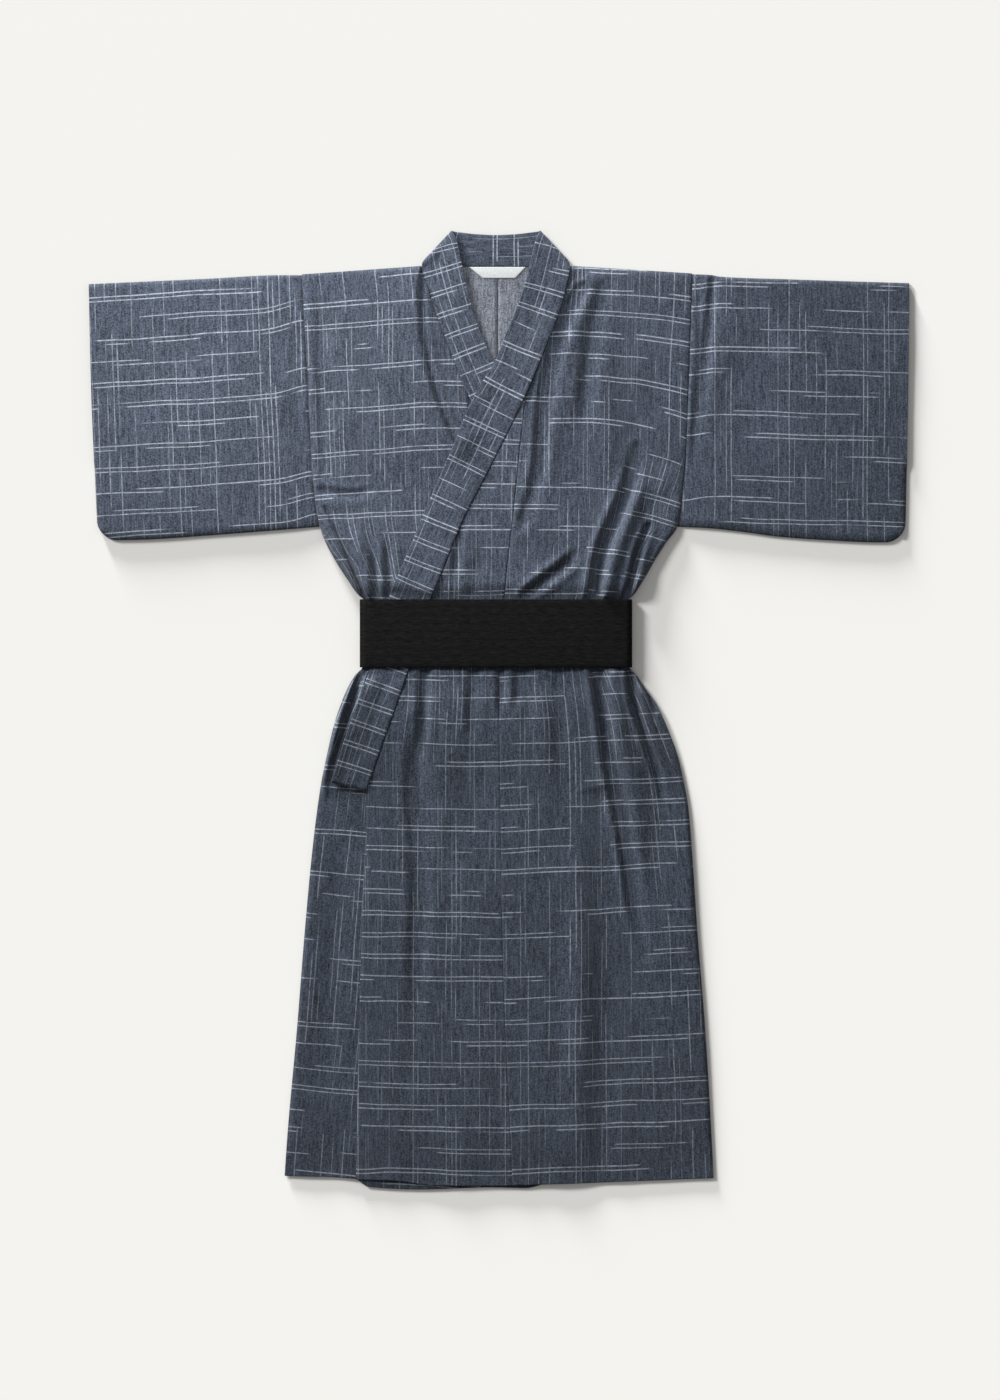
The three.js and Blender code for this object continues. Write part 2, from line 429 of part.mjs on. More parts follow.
// The shoulder fold, where the one length of cloth turns from the back to the front: a
// bar with a rounded nose along the fold line, from x0,y0 to x1,y1.
function shoulderFold(x0, y0, x1, y1) {
  const shape = new THREE.Shape([
    new THREE.Vector2(-1.6, 0.05), new THREE.Vector2(0.3, 0.05), new THREE.Vector2(1.1, 0.9),
    new THREE.Vector2(1.1, 2.4), new THREE.Vector2(0.3, 3.2), new THREE.Vector2(-1.6, 3.2),
  ]);
  const g = new THREE.ExtrudeGeometry(shape, { depth: Math.hypot(x1 - x0, y1 - y0), bevelEnabled: false });
  const along = new THREE.Vector3(x1 - x0, y1 - y0, 0).normalize();
  const outward = new THREE.Vector3().crossVectors(UP, along);
  g.applyMatrix4(new THREE.Matrix4().makeBasis(outward, UP, along).setPosition(x0, y0, 0));
  return g;
}

// Closed geometries joined into one body.
function joined(...parts) {
  const solids = parts.map((g) => {
    const plain = new THREE.BufferGeometry().setAttribute("position", (g.index ? g.toNonIndexed() : g).getAttribute("position"));
    const merged = mergeVertices(plain, 1e-3);
    return new wasm.Manifold(
      new wasm.Mesh({ numProp: 3, vertProperties: merged.attributes.position.array, triVerts: new Uint32Array(merged.index.array) }),
    );
  });
  const mesh = wasm.Manifold.union(solids).getMesh();
  const g = new THREE.BufferGeometry();
  const xyz = new Float32Array(mesh.numVert * 3);
  for (let i = 0; i < mesh.numVert; i++) xyz.set(mesh.vertProperties.subarray(i * mesh.numProp, i * mesh.numProp + 3), i * 3);
  g.setAttribute("position", new THREE.BufferAttribute(xyz, 3));
  g.setIndex(new THREE.BufferAttribute(mesh.triVerts, 1));
  return g;
}

// A body panel (migoro) is one length from the back hem over the shoulder to the front hem.
// It is made as two solids that meet below the fold: the back, and the fold with the front.
function frontWithFold(isLeft) {
  const neck = isLeft ? SHOULDER.neckLeft : SHOULDER.neckRight, arm = isLeft ? LEFT_SIDE[0] : RIGHT_SIDE[0];
  const [a, b] = isLeft ? [{ x: neck.x + 0.6, y: neck.y }, arm] : [arm, { x: neck.x - 0.6, y: neck.y }];
  return joined(shoulderFold(a.x, a.y, b.x, b.y), frontPanel(isLeft));
}

// ---- sleeves ----------------------------------------------------------------------
// A sleeve is one length of cloth folded along its top: a flat pouch whose front and back
// lie on each other. It is open to the body along the armhole and at the hand, and closed
// along the fold, the bottom and the lower part of the outer edge.
function sleeve(spec) {
  const { side: way, armhole, top, cuff, bottom } = spec;
  const down = [0, 8, 24, 60, 97, 142, 178, 220, 257, 309, 348, 365, 376.5].map((d) => d / 376.5);
  const out = [0, 0.07, 0.2, 0.36, 0.52, 0.68, 0.82, 0.91, 0.96, 0.985, 1];
  const armX = (y) => Math.abs(at(armhole, "y", "x", y)) + 0.5;
  const plan = (u, v, inset) => {
    const yArm = mix(armhole[0].y, 276, v);
    const guess = mix(armX(yArm), 612, u);
    let y = mix(at(top, "x", "y", guess), at(bottom, "x", "y", guess), v);
    let x = mix(armX(yArm), at(cuff, "y", "x", y), u);
    const edgeX = at(cuff, "y", "x", y), edgeY = at(bottom, "x", "y", x);
    const a = edgeX - x, b = y - edgeY, r = SLEEVE_CORNER;
    if (a < r && b < r) {
      const da = r - a, db = r - b, far = Math.hypot(da, db) || 1, scale = Math.max(da, db) / far;
      x = edgeX - r + da * scale;
      y = edgeY + r - db * scale;
    }
    if (inset) {
      const openAtHand = v * 376.5 < CUFF_OPENING;
      if (v === 0) y -= CLOTH;
      if (v === 1) y += CLOTH;
      if (u === 1 && !openAtHand) x -= CLOTH;
    }
    return [x * way, y, x];
  };
  // distance to the nearest closed edge, which is where the pouch is thinnest
  const puffAt = (u, v) => {
    const [, y, x] = plan(u, v, false);
    const dTop = at(top, "x", "y", x) - y, dBottom = y - at(bottom, "x", "y", x);
    const dCuff = at(cuff, "y", "x", y) - x;
    const near = Math.min(dTop, dBottom, v * 376.5 < CUFF_OPENING ? Infinity : dCuff);
    const t = clamp01(near / EDGE_ROUND);
    const body = mix(mix(BASE - CLOTH / 2, SLEEVE_MIDDLE, smooth(0, 0.16, u)), CUFF_HEIGHT, smooth(0.84, 1, u));
    return mix(2.1, body, Math.sqrt(Math.max(0, 1 - (1 - t) * (1 - t))));
  };
  const n = down.length, m = out.length, positions = [], index = [];
  const layers = [
    (u, v) => [plan(u, v, false), puffAt(u, v) + CLOTH], // outer face of the front
    (u, v) => [plan(u, v, true), puffAt(u, v)], // inner face of the front
    (u, v) => [plan(u, v, true), CLOTH], // inner face of the back
    (u, v) => [plan(u, v, false), 0], // outer face of the back
  ];
  for (const layer of layers)
    for (const v of down)
      for (const u of out) {
        const [[x, y], z] = layer(u, v);
        positions.push(x, y, z);
      }
  const id = (k, i, j) => k * n * m + i * m + j;
  const flip = way > 0;
  const quad = (a, b, c, d) => (flip ? index.push(a, b, c, a, c, d) : index.push(a, c, b, a, d, c));
  for (let i = 0; i < n - 1; i++)
    for (let j = 0; j < m - 1; j++) {
      for (const k of [0, 2]) quad(id(k, i, j), id(k, i + 1, j), id(k, i + 1, j + 1), id(k, i, j + 1));
      for (const k of [1, 3]) quad(id(k, i, j), id(k, i, j + 1), id(k, i + 1, j + 1), id(k, i + 1, j));
    }
  // the rim, walked once round the grid with the cloth on its left
  const rim = [];
  for (let i = 0; i < n - 1; i++) rim.push([i, 0, i + 1, 0, true]);
  for (let j = 0; j < m - 1; j++) rim.push([n - 1, j, n - 1, j + 1, false]);
  for (let i = n - 1; i > 0; i--) rim.push([i, m - 1, i - 1, m - 1, down[i] * 376.5 < CUFF_OPENING]);
  for (let j = m - 1; j > 0; j--) rim.push([0, j, 0, j - 1, false]);
  rim.forEach(([ai, aj, bi, bj, open], at0) => {
    const v = (k, i, j) => id(k, i, j);
    const pairs = open ? [[0, 1], [2, 3]] : [[0, 3], [2, 1]];
    for (const [k, l] of pairs) quad(v(k, ai, aj), v(l, ai, aj), v(l, bi, bj), v(k, bi, bj));
    const before = rim[(at0 + rim.length - 1) % rim.length][4];
    if (before !== open) {
      // the end of a seam closes the cloth's thickness
      const c = [0, 1, 2, 3].map((k) => v(k, ai, aj));
      if (open) quad(c[0], c[3], c[2], c[1]);
      else quad(c[0], c[1], c[2], c[3]);
    }
  });
  const g = new THREE.BufferGeometry();
  g.setAttribute("position", new THREE.BufferAttribute(new Float32Array(positions), 3));
  g.setIndex(index);
  return g;
}

// ---- collar -----------------------------------------------------------------------
// The collar is stiffer than the panels, so it bridges their folds: its height comes from
// the highest, or the lowest, of the places round a point.
function bridged(height, pick, x, y) {
  let z = height(x, y);
  for (const dx of [-16, -8, 0, 8, 16]) for (const dy of [-16, -8, 0, 8, 16]) z = pick(z, height(x + dx, y + dy));
  return z;
}
function collar() {
  const across = [0, 0.3, 0.65, 1];
  const stations = COLLAR.map((s) =>
    across.map((c) => {
      const x = mix(s.freeX, s.seamX, c), y = mix(s.freeY, s.seamY, c);
      if (s.level === "neck") return new THREE.Vector3(x, y, mix(s.freeZ, s.seamZ, c));
      const z =
        s.level === "over"
          ? Math.min(bridged(overZ, Math.max, x, y) + 0.9, OBI_HEIGHT - OBI_WALL - 0.4 - BAND / 2 + 1.2 * Math.max(0, outsideObi(y) - 9))
          : Math.max(bridged(underZ, Math.min, x, y) - 0.75, bridged((px, py) => backZ(px, py), Math.max, x, y) + CLOTH / 2 + SEAM + BAND / 2 + 0.1);
      return new THREE.Vector3(x, y, z + s.roll * (1 - c));
    }),
  );
  const rows = stations.map((row, i) =>
    row.map((p, j) => {
      const before = stations[Math.max(0, i - 1)][j], after = stations[Math.min(stations.length - 1, i + 1)][j];
      const run = new THREE.Vector3().subVectors(after, before);
      const width = new THREE.Vector3().subVectors(row[row.length - 1], row[0]);
      const n = new THREE.Vector3().crossVectors(run, width).normalize();
      return { p, n };
    }),
  );
  return wall(rows, BAND);
}

// ---- obi --------------------------------------------------------------------------
// One stiff band round the waist. Its ends lap under the garment, out of sight.
function obi() {
  const r = OBI_HEIGHT / 2 - OBI_WALL / 2, mid = OBI_HEIGHT / 2, t = OBI_WALL;
  const path = [];
  const add = (x, z) => path.push(new THREE.Vector2(x, z));
  const lapTop = t / 2 + t + SEAM;
  add(OBI_LAP, lapTop);
  add(-OBI_LAP - 4, lapTop);
  add(-OBI_LAP - 14, (lapTop + t / 2) / 2);
  add(-OBI_LAP - 24, t / 2);
  const leftCentre = OBI_LEFT_END + r + t / 2, rightCentre = OBI_RIGHT_END - r - t / 2;
  for (let k = 0; k <= 8; k++) {
    const a = -Math.PI / 2 - (Math.PI * k) / 8;
    add(leftCentre + r * Math.cos(a), mid + r * Math.sin(a));
  }
  for (let k = 0; k <= 8; k++) {
    const a = Math.PI / 2 - (Math.PI * k) / 8;
    add(rightCentre + r * Math.cos(a), mid + r * Math.sin(a));
  }
  add(-OBI_LAP, t / 2);
  // outline of the wall: one side of the path, then back along the other
  const sideOf = (sign) =>
    path.map((p, i) => {
      const a = path[Math.max(0, i - 1)], b = path[Math.min(path.length - 1, i + 1)];
      const before = new THREE.Vector2().subVectors(p, a), after = new THREE.Vector2().subVectors(b, p);
      if (i === 0) before.copy(after);
      if (i === path.length - 1) after.copy(before);
      const n1 = new THREE.Vector2(-before.y, before.x).normalize(), n2 = new THREE.Vector2(-after.y, after.x).normalize();
      const n = n1.clone().add(n2).normalize();
      return new THREE.Vector2(p.x, p.y).addScaledVector(n, (sign * t) / 2 / Math.max(0.5, n.dot(n1)));
    });
  const shape = new THREE.Shape([...sideOf(1), ...sideOf(-1).reverse()]);
  const g = new THREE.ExtrudeGeometry(shape, { depth: 2 * OBI_HALF, bevelEnabled: false, steps: 1 });
  g.rotateX(Math.PI / 2);
  g.translate(0, OBI_MIDDLE + OBI_HALF, 0);
  return g;
}

// ---- label ------------------------------------------------------------------------
// A plain woven tab sewn in at the back of the neck, with its lower corners turned in.
function label() {
  const shape = new THREE.Shape([
    new THREE.Vector2(-24.3, 648.5), new THREE.Vector2(24.6, 648.5),
    new THREE.Vector2(40.5, 664.7), new THREE.Vector2(-45, 664.7),
  ]);
  const g = new THREE.ExtrudeGeometry(shape, { depth: LABEL_WALL, bevelEnabled: false });
  g.translate(0, 0, CLOTH + SEAM);
  return g;
}

// ---- the garment ------------------------------------------------------------------
const COTTON = { color: 0x4b515e, roughness: 0.92, metalness: 0 };
const pieces = {
  back_right: [backPanel(false), COTTON],
  back_left: [backPanel(true), COTTON],
  front_right: [frontWithFold(false), COTTON],
  front_left: [frontWithFold(true), COTTON],
  okumi_right: [okumiPanel(false), COTTON],
  okumi_left: [okumiPanel(true), COTTON],
  sleeve_right: [sleeve(RIGHT_SLEEVE), COTTON],
  sleeve_left: [sleeve(LEFT_SLEEVE), COTTON],
  collar: [collar(), COTTON],
  neck_label: [label(), { color: 0xe8e9e8, roughness: 0.6, metalness: 0 }],
  obi: [obi(), { color: 0x1b1b1b, roughness: 0.7, metalness: 0 }],
};

const garment = new THREE.Group();
for (const [name, [geometry, finish]] of Object.entries(pieces)) {
  const mesh = new THREE.Mesh(geometry, new THREE.MeshStandardMaterial(finish));
  mesh.name = name;
  garment.add(mesh);
}

export default garment;
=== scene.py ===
import math

import bpy
import numpy as np
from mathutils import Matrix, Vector


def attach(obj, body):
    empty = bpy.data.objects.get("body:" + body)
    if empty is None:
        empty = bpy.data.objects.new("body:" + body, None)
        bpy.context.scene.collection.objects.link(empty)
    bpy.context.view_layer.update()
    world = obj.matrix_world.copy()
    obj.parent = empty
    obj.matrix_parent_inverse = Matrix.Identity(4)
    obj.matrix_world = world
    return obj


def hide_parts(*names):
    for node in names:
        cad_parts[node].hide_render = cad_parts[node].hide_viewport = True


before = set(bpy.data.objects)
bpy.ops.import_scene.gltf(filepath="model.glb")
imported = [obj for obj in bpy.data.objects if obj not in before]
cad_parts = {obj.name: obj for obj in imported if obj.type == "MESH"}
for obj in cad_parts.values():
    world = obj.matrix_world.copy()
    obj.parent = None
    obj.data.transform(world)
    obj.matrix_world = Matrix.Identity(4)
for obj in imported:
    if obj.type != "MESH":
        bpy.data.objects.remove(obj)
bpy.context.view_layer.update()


# ---- named sizes ---------------------------------------------------------------------
MM = 0.001
CLOTH = 0.7  # thickness of the shells
OBI_MIDDLE, OBI_HALF = 115.5, 51.0
OBI_LEFT_END, OBI_RIGHT_END = -208.5, 199.5
OBI_HEIGHT, OBI_WALL, OBI_LAP = 19.0, 2.4, 62.0
CREASE_DEPTH = 1.25
BASE, HEM_BASE = 6.0, 4.0
STACK, HEM_STACK = 3.0, 2.2
BACK_LIFT, FRONT_LIFT, PUFF = 5.45, 3.2, 6.5
CENTRE_BACK = -1.5
BACK_HEM = -697.0
ARMHOLE_END = 285.0
CUFF_OPENING = 270.0
SLEEVE_CORNER = 30.0

# Collar stations: level, free edge x y, seam x y, then roll, or the two heights at the neck.
COLLAR = [
    ("under", 155, -107, 102, -121, 0), ("under", 152, -62, 99, -67, 0),
    ("under", 149, -22, 96, -17.4, 0), ("under", 145, 20, 92, 20, 0),
    ("under", 140, 60, 88, 56.5, 0), ("under", 134, 95, 82, 90, 0),
    ("under", 128, 135, 76, 130, 0), ("under", 121, 174, 69, 166.5, 0),
    ("under", 113, 204, 61, 193.5, 0), ("under", 97, 257, 46, 243, 0),
    ("under", 80, 309, 28, 292.5, 0), ("under", 62, 360, 9, 343, 0),
    ("under", 42, 411, -13, 395, 0), ("under", 24, 451, -29, 432, 0),
    ("under", 8, 487, -47, 474, 0.5), ("under", -7, 520, -62, 511, 1.0),
    ("under", -28, 568, -79, 555, 2.2), ("under", -41, 607, -93, 592, 3.6),
    ("under", -49, 640, -105, 627.6, 5.0), ("under", -56, 672, -111, 645, 6.4),
    ("under", -61, 696, -115, 659, 7.2),
    ("neck", -66.5, 712, -115.5, 667.4, 12.4, 8.2), ("neck", -70, 718.4, -113.5, 672.2, 9.4, 6.6),
    ("neck", -70, 718.8, -111, 672.6, 6.0, 4.4), ("neck", -66.5, 718, -104, 669.4, 3.2, 2.0),
    ("neck", -56, 716.6, -84, 666.4, 3.2, 1.5), ("neck", -35, 714, -46, 665.8, 5.0, 1.5),
    ("neck", -4.5, 712.6, -4.5, 665.7, 5.4, 1.5), ("neck", 26, 714, 37, 665.8, 5.0, 1.5),
    ("neck", 47, 716.6, 75, 666.4, 3.2, 1.5), ("neck", 57.5, 718, 95, 669.4, 3.2, 2.0),
    ("neck", 61, 718.8, 102, 672.6, 6.0, 4.4), ("neck", 61, 718.4, 104.5, 672.2, 9.4, 6.6),
    ("neck", 57.5, 712, 106, 667.4, 12.4, 8.4),
    ("over", 52, 694, 105.5, 659, 6.6), ("over", 46, 668, 103, 645, 5.8),
    ("over", 39, 640, 99, 627.6, 4.6), ("over", 27, 604, 88, 592, 3.2),
    ("over", 12, 569, 73.5, 555, 2.0), ("over", -8, 519, 56, 511, 1.0),
    ("over", -27, 489, 40, 474, 0.5), ("over", -49, 446, 20, 432, 0),
    ("over", -66, 403, 1.5, 395, 0), ("over", -88, 352, -25, 343, 0),
    ("over", -110, 301, -51, 292.5, 0), ("over", -131, 250, -72, 243, 0),
    ("over", -151, 203, -91.5, 193.5, 0), ("over", -157.5, 188, -97.5, 180, 0),
    ("over", -163, 174, -103, 166.5, 0), ("over", -174, 137, -116, 130, 0),
    ("over", -184, 97, -127, 90, 0), ("over", -194, 60, -137.5, 56.5, 0),
    ("over", -199.5, 44, -142.3, 42, 0), ("over", -208, 21, -150, 20, 0),
    ("over", -222, -17, -163.2, -17.4, 0), ("over", -237, -61, -181, -67, 0),
    ("over", -251, -108, -199.5, -121, 0),
]

# Edges and seams in plan, as (y, x).
RIGHT_SIDE = [
    (652.5, -295.5), (565, -290.5), (480, -285.5), (369, -280), (321, -276), (276, -268.5),
    (255, -261), (226.5, -246), (196.5, -227), (170, -207), (167, -202), (64, -202), (61, -207),
    (46.5, -219.5), (9, -237), (-28.5, -249), (-66, -257.5), (-103.5, -265.5), (-141, -271.5),
    (-216, -280.5), (-328.5, -291), (-478.5, -303), (-628.5, -316.5), (-730, -323),
]
LEFT_SIDE = [
    (654, 289.5), (612, 288), (462, 282.8), (390, 280), (307.5, 272.5), (276, 267), (252, 250.5),
    (223.5, 232.5), (193.5, 215), (170, 198), (167, 193), (64, 193), (61, 198), (31.5, 220),
    (9, 236), (-28.5, 253.5), (-66, 267), (-103.5, 276), (-141, 283), (-216, 289.5),
    (-328.5, 297), (-478.5, 309), (-628.5, 318), (-730, 323),
]
LEFT_OKUMI_SEAM = [
    (474, 40), (432, 35.5), (395, 31.5), (301.5, 22), (181.5, 9), (58.5, 0), (-214.5, 3),
    (-429, 7.5), (-589.5, 15), (-730, 21.5),
]
RIGHT_OKUMI_SEAM = [
    (474, -47), (432, -44), (395, -41), (301.5, -32), (181.5, -19), (58.5, -10), (-214.5, -13),
    (-429, -17), (-589.5, -24), (-730, -30),
]
LEFT_FRONT_EDGE = [
    (-121, -199.5), (-216, -199), (-258, -203), (-322.5, -205.5), (-429, -209), (-535.5, -211),
    (-589.5, -212.5), (-730, -215),
]
RIGHT_FRONT_EDGE = [(-121, 102), (-429, 105), (-730, 108)]
UPPER_HEM = [(-214.5, -703), (-165, -704), (-99, -711.5), (-22, -712.5), (76, -710), (323, -701)]
LOWER_HEM = [
    (-323, -697.5), (-216, -702), (-196, -714), (-117, -718), (-12, -715), (39, -716),
    (92, -703), (108, -702),
]
UNDER_REACH = [
    (720, -70), (520, -7), (411, 42), (309, 80), (204, 113), (60, 140), (-107, 155), (-125, 106),
    (-730, 108),
]
# Sleeves: x is measured outwards. top and bottom are (x, y), cuff is (y, x).
RIGHT_SLEEVE = {
    "side": -1, "armhole": RIGHT_SIDE,
    "top": [(295.5, 652.5), (330, 652.5), (430, 647.5), (615, 639)],
    "cuff": [(652.5, 615), (480, 611), (294, 603), (230, 600)],
    "bottom": [(268, 276), (343, 270), (444, 262.5), (540, 256.5), (615, 255)],
}
LEFT_SLEEVE = {
    "side": 1, "armhole": LEFT_SIDE,
    "top": [(289, 654), (318, 652.8), (330, 650.5), (430, 646.5), (615, 640.5)],
    "cuff": [(654, 615), (480, 613), (284, 609.5), (230, 608)],
    "bottom": [(267, 276), (316, 273.5), (367, 268), (420, 261), (496, 255.5), (560, 252.5), (615, 252)],
}

# Creases: the line in plan, then height and half-width on its left, the same on its right,
# how much is left at its start and end, and the width of cloth that it takes in.
CREASES = [
    # right front, above the obi
    ([(-117, 664), (-120, 621), (-117, 567), (-106.5, 512), (-90, 454), (-69, 403)], 5.4, 40, -8.2, 6.4, 1.0, 0.9, 3),
    ([(-262, 300), (-250, 274), (-229.5, 227), (-207, 176), (-200, 160)], 5.0, 6.0, -12.0, 4.6, 0.4, 1.0, 12),
    ([(-270, 640), (-268, 500), (-262, 315)], -3.2, 6, -3.0, 13, 0.3, 0.2, 0),
    ([(-266, 331), (-223.5, 325), (-178, 334)], -2.8, 7, -3.2, 4.5, 0.8, 0.0, 0),
    ([(-192, 240), (-187, 200), (-184, 160)], -7.5, 4, -7.0, 6, 0.0, 1.0, 10),
    ([(-170, 262), (-167, 205), (-164, 160)], -5.4, 5, -5.2, 7, 0.0, 1.0, 8),
    ([(-210, 300), (-206, 232), (-192, 160)], 3.4, 9, 3.0, 9, 0.0, 1.0, 0),
    ([(-165, 560), (-172, 470), (-168, 380)], 1.6, 30, 1.6, 26, 0.0, 0.0, 0),
    # left front, above the obi
    ([(120, 632), (97.5, 592), (79, 538), (68, 487), (61, 433), (57.5, 376), (47, 326), (34, 285)], -10.0, 5.2, -9.6, 11, 0.9, 0.3, 4),
    ([(134, 636), (112, 570), (100, 470), (92, 380)], 3.6, 12, 3.6, 24, 0.4, 0.0, 0),
    ([(152, 632), (136, 560), (128, 480), (118, 400)], -4.6, 8, -4.4, 13, 0.5, 0.0, 2),
    ([(205, 392), (193, 340), (172, 287), (153, 240), (139, 166)], -13.5, 6.5, -13.0, 9.5, 0.2, 1.0, 26),
    ([(222, 366), (206, 318), (188, 262), (170, 212), (158, 160)], 5.5, 9, 5.5, 12, 0.0, 1.0, 0),
    ([(222, 276), (207, 236), (198, 200), (188, 162)], -13.5, 4.2, -13.0, 5.6, 0.4, 1.0, 18),
    ([(120, 241), (93, 215), (64, 193), (40, 173)], -8.2, 6.0, -7.6, 8, 0.0, 1.0, 4),
    ([(157, 600), (160, 430), (172, 285)], 3.2, 22, 3.0, 22, 0.0, 0.0, 0),
    ([(250, 372), (240, 345), (232, 310)], 2.6, 22, 2.6, 22, 0.2, 0.0, 0),
    ([(230, 560), (236, 480), (232, 410)], -1.4, 16, -1.4, 18, 0.0, 0.0, 0),
    # left overlap, above the obi
    ([(-62, 290), (-64, 235), (-70, 190)], -3.0, 5, -3.0, 8, 0.0, 0.6, 4),
    ([(-84, 206), (-87, 186), (-90, 160)], -3.8, 5, -3.8, 7, 0.0, 1.0, 4),
    ([(-30, 245), (-33, 205), (-38, 160)], -1.6, 8, -1.6, 8, 0.0, 1.0, 2),
    # left overlap, below the obi
    ([(-112.5, 66), (-115.5, -16), (-122, -80)], -7.2, 6, -7.0, 8, 1.0, 0.0, 5),
    ([(-128, -20), (-132, -134), (-127, -225)], -4.2, 8, -4.0, 11, 0.3, 0.2, 0),
    ([(-120, -190), (-121.5, -330), (-118, -460)], -2.4, 11, -2.4, 13, 0.4, 0.0, 0),
    ([(-76, 60), (-84, -60), (-80, -240)], 2.6, 20, 2.6, 22, 0.7, 0.0, 0),
    ([(-127, 34), (-118, -170), (-127, -400), (-134, -560)], -2.2, 9, -2.4, 13, 0.2, 0.2, 0),
    ([(-40, 66), (-42, 20), (-46, -60)], -3.2, 6, -3.2, 9, 1.0, 0.0, 3),
    ([(27, 66), (28, 40), (29, 0)], -4.5, 6, -4.0, 7, 1.0, 0.0, 2),
    ([(1, 66), (2, 30), (3, -20)], -3.0, 5, -2.0, 6, 1.0, 0.0, 2),
    ([(-28, -80), (-34, -260), (-30, -460)], 1.4, 24, 1.4, 28, 0.0, 0.0, 0),
    # left front, below the obi
    ([(40, 66), (42, 20), (40, -50)], -2.2, 7, -2.2, 9, 1.0, 0.0, 3),
    ([(86, 66), (88, 0), (92, -120)], -2.0, 10, -2.0, 12, 1.0, 0.0, 3),
    ([(66, 60), (66, -50), (70, -220)], 2.0, 20, 2.0, 20, 0.7, 0.0, 0),
    ([(140, 66), (152.5, -11), (161, -76), (175.5, -146), (187.5, -216), (199.5, -298), (217, -368)], -12.0, 5.0, -11.0, 12, 1.0, 0.15, 18),
    ([(172, 66), (186, -20), (206, -120), (226, -230)], 4.4, 13, 4.2, 14, 1.0, 0.0, 0),
    ([(192, 66), (196.5, 23), (211, -29), (234, -94), (246, -146)], -13.5, 3.3, -13.0, 7.5, 1.0, 0.1, 20),
    ([(196, 70), (222, 25), (238, -22)], -7.5, 3.6, -7.0, 6, 1.0, 0.0, 12),
    ([(110, -140), (124, -330), (120, -520)], 2.4, 26, 2.4, 30, 0.0, 0.0, 0),
    ([(86, -240), (92, -420), (88, -640)], -1.8, 14, -1.8, 18, 0.0, 0.3, 0),
    ([(160, -330), (168, -470), (166, -640)], -1.5, 26, -1.5, 26, 0.0, 0.2, 0),
    ([(232, -250), (246, -420), (252, -620)], 1.6, 26, 1.6, 24, 0.0, 0.3, 0),
    # right side, below the obi
    ([(-206, 66), (-217, 30), (-228.5, -6), (-244, -62), (-253, -100), (-257, -150)], -14.0, 3.4, -14.0, 5.6, 1.0, 0.0, 14),
    ([(-215, 50), (-231, 10), (-247, -40), (-260, -100)], 3.4, 6, 3.0, 4, 0.6, 0.3, 0),
    ([(-236, -150), (-246, -330), (-262, -560)], -1.5, 14, -1.4, 16, 0.0, 0.3, 0),
    ([(-282, -260), (-292, -420), (-304, -620)], 1.0, 12, 1.2, 16, 0.0, 0.3, 0),
]
# On the back, which lies on the surface, the tucks under the obi only lift the cloth a little.
BACK_CREASES = [
    ([(-178, 300), (-168, 230), (-158, 168)], 0.50, 5, 0.50, 9, 0.0, 1.0, 0),
    ([(-108, 420), (-96, 300), (-92, 168)], 0.45, 7, 0.45, 11, 0.0, 1.0, 0),
    ([(-44, 262), (-41, 210), (-38, 168)], 0.45, 4, 0.45, 6, 0.0, 1.0, 0),
    ([(50, 340), (58, 250), (56, 168)], 0.50, 6, 0.50, 9, 0.0, 1.0, 0),
    ([(128, 400), (112, 280), (100, 168)], 0.40, 9, 0.40, 12, 0.0, 1.0, 0),
    ([(186, 296), (172, 230), (158, 168)], 0.55, 5, 0.55, 7, 0.0, 1.0, 0),
    ([(-152, 64), (-176, -40), (-198, -200)], 0.55, 6, 0.55, 9, 1.0, 0.0, 0),
    ([(-88, 64), (-96, -60), (-104, -250)], 0.45, 8, 0.45, 12, 1.0, 0.0, 0),
    ([(-30, 64), (-30, 10), (-32, -80)], 0.45, 4, 0.45, 6, 1.0, 0.0, 0),
    ([(42, 64), (46, -20), (50, -150)], 0.45, 5, 0.45, 8, 1.0, 0.0, 0),
    ([(102, 64), (120, -60), (132, -280)], 0.50, 8, 0.50, 12, 1.0, 0.0, 0),
    ([(158, 64), (184, -40), (204, -170)], 0.55, 6, 0.55, 8, 1.0, 0.0, 0),
]
SLEEVE_CREASES = {
    "right": [([(-300, 600), (-303, 470), (-296, 340)], -0.9, 10, -0.9, 8, 0.3, 0.3, 0),
              ([(-420, 610), (-440, 450), (-430, 300)], 0.8, 40, 0.8, 44, 0.0, 0.0, 0),
              ([(-530, 600), (-540, 430), (-535, 300)], -0.8, 34, -0.8, 34, 0.0, 0.0, 0)],
    "left": [([(321, 652), (316, 601), (309, 520), (305, 450)], -4.8, 4.2, -4.4, 7, 1.0, 0.2, 3),
             ([(299, 616), (302, 556), (294, 436), (288, 350)], -3.0, 4.5, -2.8, 11, 0.4, 0.1, 0),
             ([(347, 640), (343, 560), (336, 470)], 2.0, 12, 2.0, 18, 0.4, 0.0, 0),
             ([(450, 620), (456, 460), (448, 310)], 0.9, 44, 0.9, 40, 0.0, 0.0, 0)],
}


# ---- small helpers -------------------------------------------------------------------
def mix(a, b, t):
    return a + (b - a) * t


def smooth(lo, hi, x):
    t = np.clip((np.asarray(x, float) - lo) / (hi - lo), 0, 1)
    return t * t * (3 - 2 * t)


